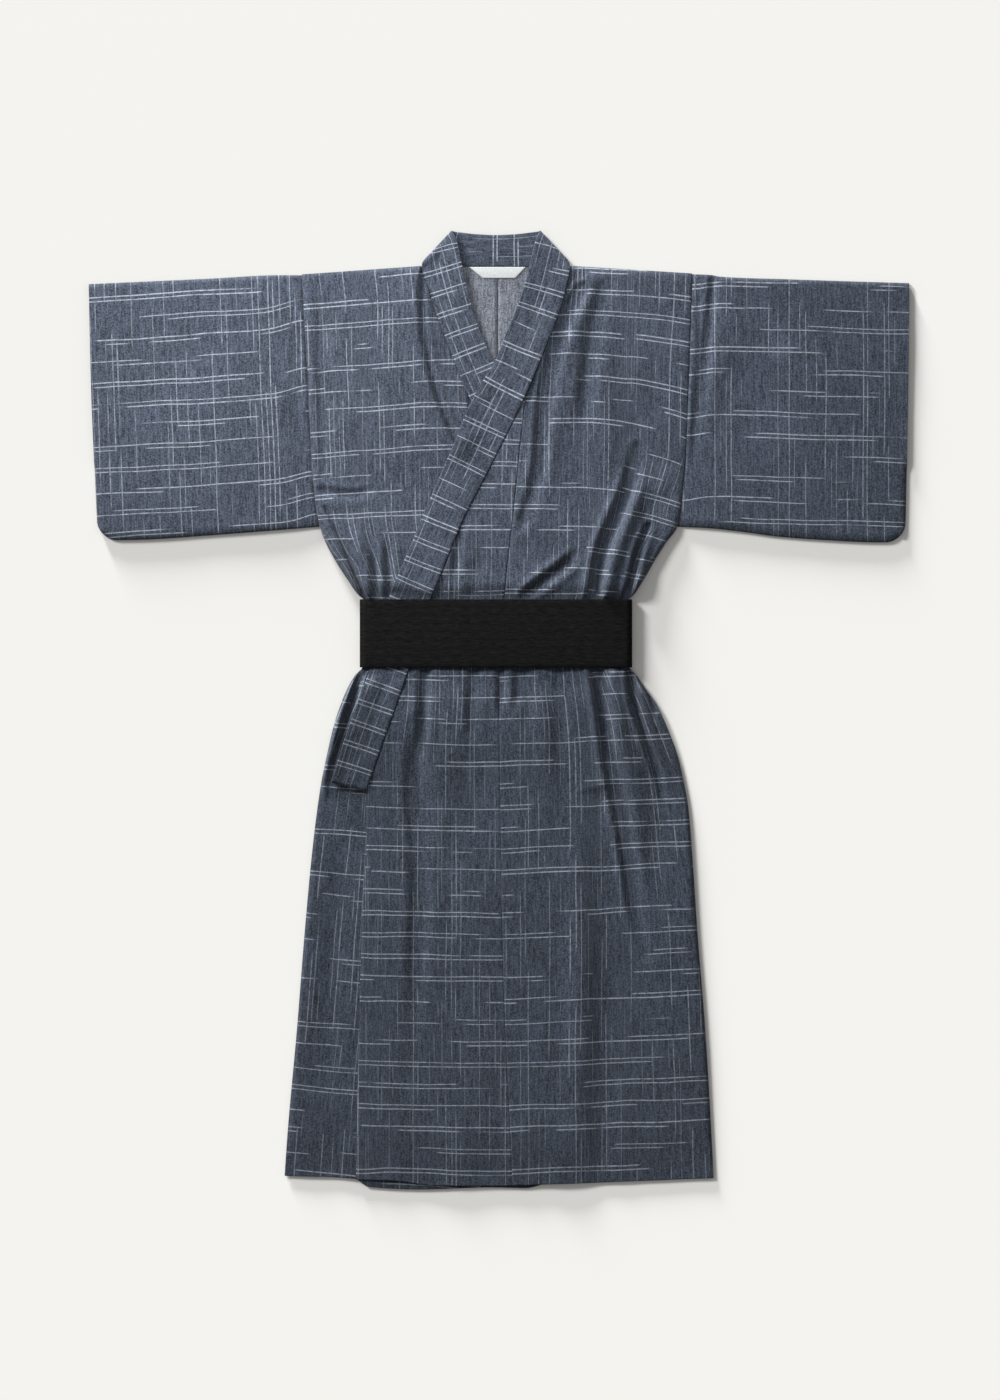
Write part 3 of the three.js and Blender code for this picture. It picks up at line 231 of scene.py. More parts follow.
def line(rows):
    """A function through (at, value) rows, smooth and with no overshoot."""
    rows = sorted(rows)
    x, y = np.array(rows, float).T
    h, d = np.diff(x), np.diff(y) / np.diff(x)
    m = np.zeros_like(x)
    m[0], m[-1] = d[0], d[-1]
    same = d[:-1] * d[1:] > 0
    w1, w2 = 2 * h[1:] + h[:-1], h[1:] + 2 * h[:-1]
    with np.errstate(divide="ignore", invalid="ignore"):
        m[1:-1] = np.where(same, (w1 + w2) / (w1 / d[:-1] + w2 / d[1:]), 0)

    def value(at):
        at = np.asarray(at, float)
        q = np.clip(at, x[0], x[-1])
        i = np.clip(np.searchsorted(x, q) - 1, 0, len(x) - 2)
        t = (q - x[i]) / h[i]
        return (
            y[i] * (1 + 2 * t) * (1 - t) ** 2 + y[i + 1] * t * t * (3 - 2 * t)
            + h[i] * (m[i] * t * (1 - t) ** 2 - m[i + 1] * t * t * (1 - t))
        )

    return value


def swell(x, y, size_x, size_y, seed):
    """Smooth value noise from -1 to 1, in patches of about the given size."""
    rng = np.random.default_rng(seed)
    table = rng.uniform(-1, 1, (64, 64))
    gx, gy = np.asarray(x) / size_x + 900.0, np.asarray(y) / size_y + 900.0
    ix, iy = np.floor(gx).astype(int), np.floor(gy).astype(int)
    tx, ty = gx - ix, gy - iy
    tx, ty = tx * tx * (3 - 2 * tx), ty * ty * (3 - 2 * ty)
    at = lambda i, j: table[i % 64, j % 64]
    return mix(mix(at(ix, iy), at(ix + 1, iy), tx), mix(at(ix, iy + 1), at(ix + 1, iy + 1), tx), ty)


def curve_through(points, count):
    p = np.array(points, float)
    s = np.concatenate([[0], np.cumsum(np.linalg.norm(np.diff(p, axis=0), axis=1))])
    t = np.linspace(0, s[-1], count)
    return np.stack([line(list(zip(s, p[:, 0])))(t), line(list(zip(s, p[:, 1])))(t)], 1), t / s[-1]


def creased(creases, x, y):
    """Height of the creases at x, y, and how far the cloth's own threads are moved by them."""
    shape = np.shape(x)
    px, py = np.ravel(x), np.ravel(y)
    rise, taken = np.zeros_like(px), np.zeros_like(px)
    for points, lift_l, wide_l, lift_r, wide_r, start, end, takes in creases:
        c, along = curve_through(points, 48)
        if takes:  # threads beyond the crease are moved all the way to the side
            order = np.argsort(c[:, 1])
            middle = np.interp(py, c[order, 1], c[order, 0])
            down = np.clip((c[0, 1] - py) / (c[0, 1] - c[-1, 1]), 0, 1)
            kept = mix(start, 1, smooth(0, 0.45, down)) * mix(1, end, smooth(0.35, 1, down))
            taken += kept * takes * (0.5 + 0.5 * np.tanh((px - middle) / max(wide_l, wide_r)))
        reach = 3.6 * max(wide_l, wide_r)
        near = (
            (px > c[:, 0].min() - reach) & (px < c[:, 0].max() + reach)
            & (py > c[:, 1].min() - reach) & (py < c[:, 1].max() + reach)
        )
        if not near.any():
            continue
        qx, qy = px[near], py[near]
        best = np.full(qx.shape, 1e9)
        at, side = np.zeros_like(qx), np.zeros_like(qx)
        for k in range(len(c) - 1):
            a, ab = c[k], c[k + 1] - c[k]
            t = np.clip(((qx - a[0]) * ab[0] + (qy - a[1]) * ab[1]) / (ab @ ab), 0, 1)
            dx, dy = qx - a[0] - t * ab[0], qy - a[1] - t * ab[1]
            d = np.hypot(dx, dy)
            closer = d < best
            best = np.where(closer, d, best)
            at = np.where(closer, mix(along[k], along[k + 1], t), at)
            side = np.where(closer, np.where(ab[0] * dy - ab[1] * dx > 0, 1.0, -1.0), side)
        d = best * side  # the lines run down the garment: d is below 0 towards -x
        kept = mix(start, 1, smooth(0, 0.35, at)) * mix(1, end, smooth(0.6, 1, at))
        left, right = (
            lift * np.exp(-((d / wide) ** 2))
            # cloth pushed out of a trough stands up beside it
            + (-0.30 * lift * np.exp(-(((np.abs(d) - 2.0 * wide) / (0.95 * wide)) ** 2)) if lift < 0 else 0)
            for lift, wide in ((lift_l, wide_l), (lift_r, wide_r))
        )
        share = 0.5 + 0.5 * np.tanh(d / 1.3)
        rise[near] += kept * mix(left, right, share)
    return (CREASE_DEPTH * rise).reshape(shape), taken.reshape(shape)


side_of = {"right": line(RIGHT_SIDE), "left": line(LEFT_SIDE)}
okumi_of = {"right": line(RIGHT_OKUMI_SEAM), "left": line(LEFT_OKUMI_SEAM)}
edge_of = {"right": line(RIGHT_FRONT_EDGE), "left": line(LEFT_FRONT_EDGE)}
hem_of = {"right": line(LOWER_HEM), "left": line(UPPER_HEM)}
under_reach = line(UNDER_REACH)


# ---- collar stations, made smooth ----------------------------------------------------
def collar_curve():
    n = len(COLLAR)
    t = np.arange(n, dtype=float)
    fine = np.linspace(0, n - 1, (n - 1) * 14 + 1)
    cols = [line(list(zip(t, [row[k] for row in COLLAR])))(fine) for k in (1, 2, 3, 4)]
    return fine, cols


FINE_T, (FREE_X, FREE_Y, SEAM_X, SEAM_Y) = collar_curve()
LEVEL = [row[0] for row in COLLAR]
FIRST_OVER, LAST_UNDER = LEVEL.index("over"), len(LEVEL) - 1 - LEVEL[::-1].index("under")


def seam_line(level):
    part = FINE_T >= FIRST_OVER if level == "over" else FINE_T <= LAST_UNDER
    y, x = SEAM_Y[part], SEAM_X[part]
    order = np.argsort(y)
    return lambda at: np.interp(at, y[order], x[order])


def free_line(level):
    part = FINE_T >= FIRST_OVER if level == "over" else FINE_T <= LAST_UNDER
    y, x = FREE_Y[part], FREE_X[part]
    order = np.argsort(y)
    return lambda at: np.interp(at, y[order], x[order])


collar_seam = {"left": seam_line("over"), "right": seam_line("under")}
over_free = free_line("over")


# ---- heights -------------------------------------------------------------------------
def outside_obi(y):
    return np.abs(np.asarray(y) - OBI_MIDDLE) - OBI_HALF


def back_z(y):
    return 0.75 + BACK_LIFT * (1 - smooth(3.4, 27, outside_obi(y)))


def top_of(a, b, soft=0.8):
    return 0.5 * (a + b + np.sqrt((a - b) ** 2 + soft))


def full_z(x, y):
    """The lower front layer's height where it shows, and what the upper one is built on."""
    q = outside_obi(y)
    base = mix(BASE, HEM_BASE, 1 - smooth(-712, -620, y))
    lift = FRONT_LIFT * (1 - smooth(0, 60, q))
    # the skirt rises more slowly than the chest, in the obi's shade
    risen = np.where(np.asarray(y) < OBI_MIDDLE, 0.82 * smooth(2, 56, q), smooth(0, 24, q))
    puff = PUFF * risen * (1 - smooth(55, 200, q))
    rise, _ = creased(CREASES, x, y)
    calm = mix(0.12, 1, smooth(-6, 9, q))
    chest = smooth(166, 260, y)
    skirt = 1 - smooth(-60, 60, y)
    drift = (
        skirt * (1.5 * swell(x, y, 58, 420, 5) + 0.8 * swell(x, y, 31, 260, 6))
        + chest * (0.9 * swell(x, y, 70, 110, 7) + 0.45 * swell(x, y, 34, 60, 8))
    ) * calm
    return top_of(base + lift + puff + rise * calm + drift, back_z(y) + 1.5)


def left_bound(y):
    """Where the upper layer begins, along X: the over collar's folded edge, then the front edge."""
    return np.where(y > -100, over_free(y), edge_of["left"](y))


def under_z(x, y):
    """The lower layer: it lies flat on the back where the upper one covers it."""
    full = full_z(x, y)
    hidden = smooth(14, 60, x - left_bound(y)) * (1 - smooth(-4, 18, neck_gap(x, y)))
    return mix(full, np.minimum(full, back_z(y) + 2.1 + 0.8 * swell(x, y, 80, 120, 3)), hidden)


def neck_gap(x, y):
    """How far above the crossing of the collars a place lies, seen through the neck."""
    return np.where(y > 480, 30.0, y - 450.0)


def over_z(x, y):
    full = full_z(x, y)
    stack = mix(STACK, HEM_STACK, 1 - smooth(-712, -640, y))
    stack = mix(1.1, stack, smooth(-2, 30, x - left_bound(y)))
    past = x - under_reach(y)
    return full + stack * (1 - smooth(6, 46, past))


def rolled(z, low, distance, radius):
    t = np.clip(distance / radius, 0, 1)
    return mix(low, np.maximum(z, low), np.sqrt(1 - (1 - t) ** 2))


# ---- meshes --------------------------------------------------------------------------
def mesh_from(name, points, uvs, quads, materials, quad_material=None):
    mesh = bpy.data.meshes.new(name)
    mesh.vertices.add(len(points))
    mesh.vertices.foreach_set("co", (np.asarray(points, float) * MM).ravel())
    quads = np.asarray(quads)
    mesh.loops.add(quads.size)
    mesh.loops.foreach_set("vertex_index", quads.ravel())
    mesh.polygons.add(len(quads))
    mesh.polygons.foreach_set("loop_start", np.arange(len(quads)) * 4)
    mesh.polygons.foreach_set("loop_total", np.full(len(quads), 4))
    layer = mesh.uv_layers.new(name="cloth")
    layer.data.foreach_set("uv", (np.asarray(uvs, float)[quads.ravel()] * MM).ravel())
    mesh.update(calc_edges=True)
    mesh.validate()
    mesh.polygons.foreach_set("use_smooth", np.ones(len(mesh.polygons), bool))
    for m in materials:
        mesh.materials.append(m)
    if quad_material is not None:
        mesh.polygons.foreach_set("material_index", quad_material)
    obj = bpy.data.objects.new(name, mesh)
    bpy.context.scene.collection.objects.link(obj)
    return obj


def grid_quads(n, m, first=0):
    i, j = np.meshgrid(np.arange(n - 1), np.arange(m - 1), indexing="ij")
    a = first + i * m + j
    return np.stack([a, a + m, a + m + 1, a + 1], -1).reshape(-1, 4)


def shell(obj, thickness, offset=0.0):
    mod = obj.modifiers.new("thickness", "SOLIDIFY")
    mod.thickness = thickness * MM
    mod.offset = offset
    mod.use_even_offset = False
    if len(obj.data.materials) > 1:
        mod.material_offset = 1
    return obj


def spread(length, step, dense_start=True, dense_end=True):
    """Places from 0 to length, closer together at the edges."""
    near = [0, 0.5, 1.2, 2.2, 3.6, 5.4, 7.6, 10.2]
    head = near if dense_start else [0]
    tail = [length - d for d in reversed(near)] if dense_end else [length]
    inner = np.linspace(head[-1], tail[0], max(2, int(round((tail[0] - head[-1]) / step)) + 1))
    return np.concatenate([head[:-1], inner, tail[1:]]) / length


def dipped(z, distance, depth, width):
    """A seam's groove: the cloth turns down towards the edge that is sewn."""
    return z - depth * np.exp(-((distance / width) ** 2))


# ---- materials -----------------------------------------------------------------------
class Nodes:
    """Short names for building a node tree."""

    def __init__(self, name):
        self.material = bpy.data.materials.new(name)
        self.material.use_nodes = True
        self.tree = self.material.node_tree
        self.tree.nodes.clear()
        self.out = self.tree.nodes.new("ShaderNodeOutputMaterial")
        self.shader = self.tree.nodes.new("ShaderNodeBsdfPrincipled")
        self.tree.links.new(self.shader.outputs[0], self.out.inputs[0])

    def put(self, node, socket, value):
        if isinstance(value, bpy.types.NodeSocket):
            self.tree.links.new(value, node.inputs[socket])
        elif value is not None:
            node.inputs[socket].default_value = value

    def math(self, op, a, b=None, c=None, clamp=False):
        n = self.tree.nodes.new("ShaderNodeMath")
        n.operation, n.use_clamp = op, clamp
        for k, v in enumerate((a, b, c)):
            self.put(n, k, v)
        return n.outputs[0]

    def uv(self):
        n = self.tree.nodes.new("ShaderNodeUVMap")
        n.uv_map = "cloth"
        s = self.tree.nodes.new("ShaderNodeSeparateXYZ")
        self.tree.links.new(n.outputs[0], s.inputs[0])
        return s.outputs[0], s.outputs[1]

    def vec(self, x, y, z=0.0):
        n = self.tree.nodes.new("ShaderNodeCombineXYZ")
        for k, v in enumerate((x, y, z)):
            self.put(n, k, v)
        return n.outputs[0]

    def noise(self, vector, scale=1.0, detail=0.0, rough=0.5):
        n = self.tree.nodes.new("ShaderNodeTexNoise")
        n.noise_dimensions = "3D"
        self.put(n, "Vector", vector)
        n.inputs["Scale"].default_value = scale
        n.inputs["Detail"].default_value = detail
        n.inputs["Roughness"].default_value = rough
        return n.outputs[0]

    def white(self, vector):
        n = self.tree.nodes.new("ShaderNodeTexWhiteNoise")
        n.noise_dimensions = "3D"
        self.put(n, "Vector", vector)
        return n.outputs[0]

    def range(self, value, lo, hi, to_lo=0.0, to_hi=1.0, kind="SMOOTHSTEP"):
        n = self.tree.nodes.new("ShaderNodeMapRange")
        n.interpolation_type = kind
        for k, v in enumerate((value, lo, hi, to_lo, to_hi)):
            self.put(n, k, v)
        return n.outputs[0]

    def colour(self, share, a, b, blend="MIX"):
        n = self.tree.nodes.new("ShaderNodeMix")
        n.data_type, n.blend_type = "RGBA", blend
        self.put(n, 0, share)
        self.put(n, 6, a)
        self.put(n, 7, b)
        return n.outputs[2]


def threads(t, u, v, deep):
    """Slub cotton: uneven streaks along the warp, finer flecks across, and single yarns."""
    m = t.math
    wide = t.noise(t.vec(m("MULTIPLY", u, 240.0), m("MULTIPLY", v, 15.0), deep), detail=1.0)
    streak = t.noise(t.vec(m("MULTIPLY", u, 560.0), m("MULTIPLY", v, 62.0), deep + 3.1), detail=1.0)
    fleck = t.noise(t.vec(m("MULTIPLY", u, 330.0), m("MULTIPLY", v, 430.0), deep + 7.7), detail=1.0)
    grain = t.noise(t.vec(m("MULTIPLY", u, 760.0), m("MULTIPLY", v, 760.0), deep + 9.3), detail=1.0)
    total = m("ADD", m("MULTIPLY", wide, 0.55), m("MULTIPLY", streak, 0.9))
    total = m("ADD", total, m("MULTIPLY", fleck, 1.0))
    total = m("ADD", total, m("MULTIPLY", grain, 1.3))
    return m("SUBTRACT", total, 1.875)  # about -0.4 to 0.4


def yarn_bump(t, u, v):
    """The plain weave: warp and weft yarns about 0.6 mm apart, each over the other in turn."""
    m = t.math
    wob = m("MULTIPLY", m("SUBTRACT", t.noise(t.vec(m("MULTIPLY", u, 160.0), m("MULTIPLY", v, 160.0), 2.0)), 0.5), 1.2)
    a = m("SINE", m("ADD", m("MULTIPLY", u, 2 * math.pi / 0.0013), wob))
    b = m("SINE", m("ADD", m("MULTIPLY", v, 2 * math.pi / 0.0013), wob))
    return m("MULTIPLY", a, b)


def cotton(name, ground_dark, ground_light, pale, pattern=1.0, seed=0.0, cover=0.0):
    """Navy slub cotton with a broken lattice: pairs of pale wefts and single pale warps."""
    t = Nodes(name)
    m = t.math
    u0, v0 = t.uv()
    drift_u = m("MULTIPLY", m("SUBTRACT", t.noise(t.vec(u0, v0, seed + 1.0), 7.0, 1.0), 0.5), 0.0045)
    drift_v = m("MULTIPLY", m("SUBTRACT", t.noise(t.vec(u0, v0, seed + 5.0), 8.0, 1.0), 0.5), 0.0065)
    u, v = m("ADD", u0, drift_u), m("ADD", v0, drift_v)

    pitch = 0.0322
    rows = m("DIVIDE", v, pitch)
    row = m("FLOOR", rows)
    across = m("SUBTRACT", rows, row)
    wefts = None
    for k, centre in enumerate((0.405, 0.595)):
        ident = m("ADD", m("MULTIPLY", row, 2.0), float(k))
        wander = m("MULTIPLY", m("SUBTRACT", t.noise(t.vec(m("MULTIPLY", u, 26.0), m("MULTIPLY", ident, 3.17), 4.0)), 0.5), 0.03)
        off = m("ABSOLUTE", m("SUBTRACT", m("ADD", across, wander), centre))
        thick = m("MULTIPLY_ADD", t.white(t.vec(ident, 3.0, seed)), 0.009, 0.0165)
        body = t.range(off, m("ADD", thick, 0.014), m("SUBTRACT", thick, 0.008))
        # two scales of broken lengths; the pair shares the longer one
        shared = t.noise(t.vec(m("MULTIPLY", u, 5.2), m("MULTIPLY", row, 7.31), seed + 11.0), detail=0.0)
        own = t.noise(t.vec(m("MULTIPLY", u, 11.5), m("MULTIPLY", ident, 5.83), seed + 17.0), detail=0.0)
        keep = m("ADD", m("MULTIPLY", shared, 0.6), m("MULTIPLY", own, 0.55))
        luck = m("MULTIPLY", m("SUBTRACT", t.white(t.vec(ident, 8.0, seed)), 0.5), 0.10)
        on = t.range(m("ADD", keep, luck), 0.538 - cover, 0.580 - cover)
        dash = t.noise(t.vec(m("MULTIPLY", u, 150.0), m("MULTIPLY", ident, 2.7), seed + 21.0), detail=2.0)
        glow = t.range(dash, 0.28, 0.62, 0.45, 1.0)
        one = m("MULTIPLY", m("MULTIPLY", body, on), glow)
        wefts = one if wefts is None else m("MAXIMUM", wefts, one)

    gap = 0.0079
    cols = m("DIVIDE", u, gap)
    col = m("FLOOR", cols)
    beside = m("SUBTRACT", cols, col)
    place = m("MULTIPLY_ADD", t.white(t.vec(col, 1.0, seed)), 0.30, 0.35)
    off = m("ABSOLUTE", m("SUBTRACT", beside, place))
    strong = t.white(t.vec(col, 5.0, seed + 2.0))
    thick = m("MULTIPLY_ADD", strong, 0.045, 0.035)
    body = t.range(off, m("ADD", thick, 0.055), m("SUBTRACT", thick, 0.02))
    keep = t.noise(t.vec(m("MULTIPLY", v, 6.4), m("MULTIPLY", col, 6.47), seed + 31.0), detail=1.0)
    luck = m("MULTIPLY", m("SUBTRACT", strong, 0.5), 0.17)
    on = t.range(m("ADD", keep, luck), 0.53, 0.58)
    dash = t.noise(t.vec(m("MULTIPLY", v, 170.0), m("MULTIPLY", col, 4.1), seed + 41.0), detail=2.0)
    glow = m("MULTIPLY", t.range(dash, 0.30, 0.62, 0.35, 1.0), m("MULTIPLY_ADD", strong, 0.40, 0.42))
    warps = m("MULTIPLY", m("MULTIPLY", body, on), glow)

    flecks = threads(t, u0, v0, seed)
    ground = t.colour(t.range(flecks, -0.34, 0.38, kind="LINEAR"), ground_dark, ground_light)
    patch = t.noise(t.vec(u0, v0, seed + 61.0), 6.0, 2.0)
    ground = t.colour(1.0, ground, t.colour(t.range(patch, 0.3, 0.7, kind="LINEAR"), (0.93, 0.93, 0.93, 1), (1.07, 1.07, 1.07, 1)), "MULTIPLY")
    lines = m("MULTIPLY", m("MAXIMUM", wefts, m("MULTIPLY", warps, 0.85)), pattern)
    lines = m("MULTIPLY", lines, t.range(flecks, -0.5, 0.5, 0.74, 1.0, kind="LINEAR"))
    t.put(t.shader, "Base Color", t.colour(lines, ground, pale))
    t.put(t.shader, "Roughness", t.range(flecks, -0.5, 0.5, 0.97, 0.86, kind="LINEAR"))
    t.shader.inputs["Specular IOR Level"].default_value = 0.12
    t.shader.inputs["Sheen Weight"].default_value = 0.08
    t.shader.inputs["Sheen Roughness"].default_value = 0.55
    height = m("ADD", m("MULTIPLY", yarn_bump(t, u0, v0), 0.22), m("MULTIPLY", flecks, 0.9))
    height = m("ADD", height, m("MULTIPLY", lines, 0.35))
    bump = t.tree.nodes.new("ShaderNodeBump")
    bump.inputs["Strength"].default_value = 0.55
    bump.inputs["Distance"].default_value = 0.0005
    t.put(bump, "Height", height)
    t.put(t.shader, "Normal", bump.outputs[0])
    return t.material


def obi_cloth():
    t = Nodes("obi black rib")
    m = t.math
    u, v = t.uv()
    wave = m("MULTIPLY", m("SUBTRACT", t.noise(t.vec(m("MULTIPLY", u, 45.0), m("MULTIPLY", v, 120.0), 3.0), detail=2.0), 0.5), 2.4)
    rib = m("SINE", m("ADD", m("MULTIPLY", v, 2 * math.pi / 0.0017), wave))
    fine = t.noise(t.vec(m("MULTIPLY", u, 160.0), m("MULTIPLY", v, 1500.0), 5.0), detail=2.0)
    dash = t.noise(t.vec(m("MULTIPLY", u, 70.0), m("MULTIPLY", v, 520.0), 8.0), detail=1.0)
    fibre = m("ADD", m("MULTIPLY", fine, 0.6), m("MULTIPLY", dash, 0.6))
    tone = m("ADD", m("MULTIPLY", rib, 0.14), fibre)
    t.put(t.shader, "Base Color", t.colour(t.range(tone, 0.44, 0.86, kind="LINEAR"), (0.0, 0.0, 0.0, 1), (0.0058, 0.0057, 0.0056, 1)))
    t.put(t.shader, "Roughness", t.range(fibre, 0.4, 0.8, 0.78, 0.6, kind="LINEAR"))
    t.shader.inputs["Specular IOR Level"].default_value = 0.05
    bump = t.tree.nodes.new("ShaderNodeBump")
    bump.inputs["Strength"].default_value = 0.85
    bump.inputs["Distance"].default_value = 0.0003
    t.put(bump, "Height", m("ADD", m("MULTIPLY", rib, 0.5), fibre))
    t.put(t.shader, "Normal", bump.outputs[0])
    return t.material


def tape():
    t = Nodes("label white tape")
    m = t.math
    u, v = t.uv()
    rib = m("SINE", m("MULTIPLY", v, 2 * math.pi / 0.0007))
    weft = t.noise(t.vec(m("MULTIPLY", u, 1200.0), m("MULTIPLY", v, 260.0), 3.0), detail=1.0)
    tone = m("ADD", m("MULTIPLY", rib, 0.1), weft)
    t.put(t.shader, "Base Color", t.colour(t.range(tone, 0.3, 0.75, kind="LINEAR"), (0.222, 0.233, 0.233, 1), (0.300, 0.312, 0.312, 1)))
    t.put(t.shader, "Roughness", t.range(weft, 0.3, 0.7, 0.72, 0.60, kind="LINEAR"))
    t.shader.inputs["Specular IOR Level"].default_value = 0.15
    t.shader.inputs["Sheen Weight"].default_value = 0.03
    bump = t.tree.nodes.new("ShaderNodeBump")
    bump.inputs["Strength"].default_value = 0.3
    bump.inputs["Distance"].default_value = 0.0002
    t.put(bump, "Height", tone)
    t.put(t.shader, "Normal", bump.outputs[0])
    return t.material


KASURI = (0.0088, 0.0112, 0.0163, 1), (0.0470, 0.0585, 0.0825, 1), (0.196, 0.216, 0.252, 1)
FACE = cotton("cotton kasuri", *KASURI)
COLLAR_FACE = cotton("cotton kasuri collar", *KASURI, cover=0.075)
REVERSE = cotton("cotton reverse", (0.0310, 0.0345, 0.0430, 1), (0.118, 0.128, 0.151, 1), (0.138, 0.148, 0.168, 1), pattern=0.22, seed=0.0)
OBI_CLOTH = obi_cloth()
TAPE = tape()


# ---- body panels ---------------------------------------------------------------------
# Where each piece's threads start, so that the rows of the pattern lie as in the photo.
PHASE = {
    "body_right": (3.0, 9.5), "body_left": (500.0, 0.0), "okumi_right": (900.0, 41.0),
    "okumi_left": (1400.0, 0.5), "sleeve_right": (1900.0, 3.0), "sleeve_left": (2500.0, 20.0),
    "collar": (3200.0, 12.0),
}
SHOULDER = {"right": ((-295.5, 652.5), (-116.2, 665.2)), "left": ((289.5, 654.0), (106.6, 665.4))}
CAD_NAME = {"right": "right", "left": "left"}


def threads_of(which, X, Y, x_out, across):
    """Where each point of a front panel lies along its own threads."""
    sign = 1 if which == "left" else -1
    neck_x = SHOULDER[which][1][0]
    _, taken = creased([c for c in CREASES if c[7]], X, Y)
    from_tucks = np.abs(taken - taken[:, -1:])
    above = smooth(60, 150, Y)
    # warps run along the outer edge near it, and straight down near the middle
    extra = (296 - np.abs(x_out))[:, None] * 0.55 * smooth(0.62, 0.0, across)[None, :] ** 1.3
    dist = np.maximum(sign * (X - neck_x), 0)
    if which == "right":
        # below the obi this panel is swung out, so its threads follow the side edge
        swung = (296 - np.abs(x_out))[:, None] * np.ones_like(X)
        u = X - from_tucks - mix(swung, extra, above)
        v = Y + mix(0.088 * (X + 200), mix(0.02, 0.075, smooth(180, 420, Y)) * dist, above)
    else:
        drop = line([(-730, 0), (150, 0), (170, 16), (230, 34), (330, 38), (450, 26), (560, 15), (660, 8)])(Y)
        u = X + from_tucks + extra
        v = Y + above * drop * (dist / 180) ** 2 - (1 - above) * 0.042 * (X - 20)
    return np.stack([u, v], -1)


def body_panel(which):
    sign = 1 if which == "left" else -1
    (arm_x, arm_y), (neck_x, neck_y) = SHOULDER[which]
    height = over_z if which == "left" else under_z
    side, okumi, seam, hem = side_of[which], okumi_of[which], collar_seam[which], hem_of[which]
    across = spread(200.0, 2.8)  # from the outer edge (0) to the inner one (1)
    m = len(across)

    # front, from the shoulder down
    end = 659 + 703
    s = np.unique(np.concatenate([[0, 1.0, 2.4, 4.4, 7.0, 10.5], np.arange(14, end - 14, 3.2), [end - 10, end - 6, end - 3, end - 1.2, end]]))
    fade = 1 - smooth(0, 90, s)
    y_out, y_in = 659 - s + (arm_y - 659) * fade, 659 - s + (neck_y - 659) * fade
    x_out = np.where(s > 0.5, side(y_out), arm_x)
    inner = np.where(y_in > 474, seam(y_in), okumi(y_in))
    x_in = mix(neck_x, inner + 0.22 * sign, 1 - smooth(654, 660, y_in))
    X = mix(x_out[:, None], x_in[:, None], across[None, :])
    Y = mix(y_out[:, None], y_in[:, None], across[None, :])
    Y = Y + (hem(X) + 703) * smooth(end - 110, end, s)[:, None]
    Z = height(X, Y)
    far, near = np.abs(X - x_out[:, None]), np.abs(X - x_in[:, None])
    radius = mix(7.5, 11.0, smooth(230, 330, Y))
    open_edge = smooth(ARMHOLE_END - 8, ARMHOLE_END + 6, Y)
    low = mix(back_z(Y) + 0.55, 3.6, open_edge)
    Z = np.where(far < radius, rolled(Z, low, far, radius), Z)
    Z = dipped(Z, near, mix(0.55, 1.5, smooth(-20, 160, Y)), mix(1.9, 0.9, 1 - smooth(440, 480, Y)))
    Z = rolled(Z, 3.4, s[:, None], 12.0)
    front = np.stack([X, Y, Z], -1)
    cloth = threads_of(which, X, Y, x_out, across)

    # the shoulder fold: half a turn from the front down to the back
    turn, turn_cloth = [], []
    for k, angle in enumerate(np.linspace(0, math.pi, 9)[1:-1]):
        row = front[0].copy()
        middle, radius = (row[:, 2] + 0.75) / 2, (row[:, 2] - 0.75) / 2
        row[:, 1] += 1.1 * np.sin(angle)
        row[:, 2] = middle + radius * np.cos(angle)
        turn.append(row)
        turn_cloth.append(cloth[0] + np.array([0, 0.6 * (k + 1)]))

    # back, from the shoulder down; columns from the outer edge to the neck, then on to the centre
    inner_x = CENTRE_BACK + 0.2 * sign
    to_centre = np.linspace(0, 1, 22)[1:]
    s = np.unique(np.concatenate([[0, 3, 8], np.arange(14, 662 + 690, 9.0), [659 + 697]]))
    fade = 1 - smooth(0, 90, s)
    y_out = 659 - s + (arm_y - 659) * fade
    y_neck = 659 - s + (neck_y - 659) * fade
    x_out = np.where(s > 0.5, side(y_out), arm_x) - np.where(y_out < 276, 0.5 * sign, 0)
    x_mid = np.full_like(x_out, neck_x)
    xa, ya = mix(x_out[:, None], x_mid[:, None], across), mix(y_out[:, None], y_neck[:, None], across)
    xb = mix(x_mid[:, None], inner_x, to_centre)
    yb = y_neck[:, None] - np.where(s < 1, 0.3, 0)[:, None] + 0 * xb
    X, Y = np.concatenate([xa, xb], 1), np.concatenate([ya, yb], 1)
    # the centre seam's allowance lies to one side, as a low ridge
    Z = back_z(Y) + (0.35 * np.exp(-(((X - CENTRE_BACK - 7 * sign) / 5.5) ** 2)) if sign < 0 else 0)
    Z = Z - 0.45 * np.exp(-(((X - inner_x) / 1.8) ** 2))
    tucks, _ = creased(BACK_CREASES, X, Y)
    Z = Z + np.clip(tucks, 0, 0.55)
    back = np.stack([X, Y, Z], -1)
    back_cloth = np.stack([X, 2 * 660 - Y], -1)

    # one mesh: the back's columns up to the neck go on over the fold to the front
    nb, mb = back.shape[:2]
    strip = np.concatenate([np.array(turn[::-1]), front])
    strip_cloth = np.concatenate([np.array(turn_cloth[::-1]), cloth])
    first = nb * mb
    k = np.arange(m - 1)
    quads = np.concatenate([
        grid_quads(nb, mb)[:, ::-1], grid_quads(len(strip), m, first),
        np.stack([k, first + k, first + k + 1, k + 1], -1),
    ])
    points = np.concatenate([back.reshape(-1, 3), strip.reshape(-1, 3)])
    uvs = np.concatenate([back_cloth.reshape(-1, 2), strip_cloth.reshape(-1, 2)]) + np.array(PHASE["body_" + which])
    obj = mesh_from("body_" + which + "_cloth", points, uvs, quads, [FACE, REVERSE])
    turn_outwards(obj)
    return shell(obj, CLOTH)


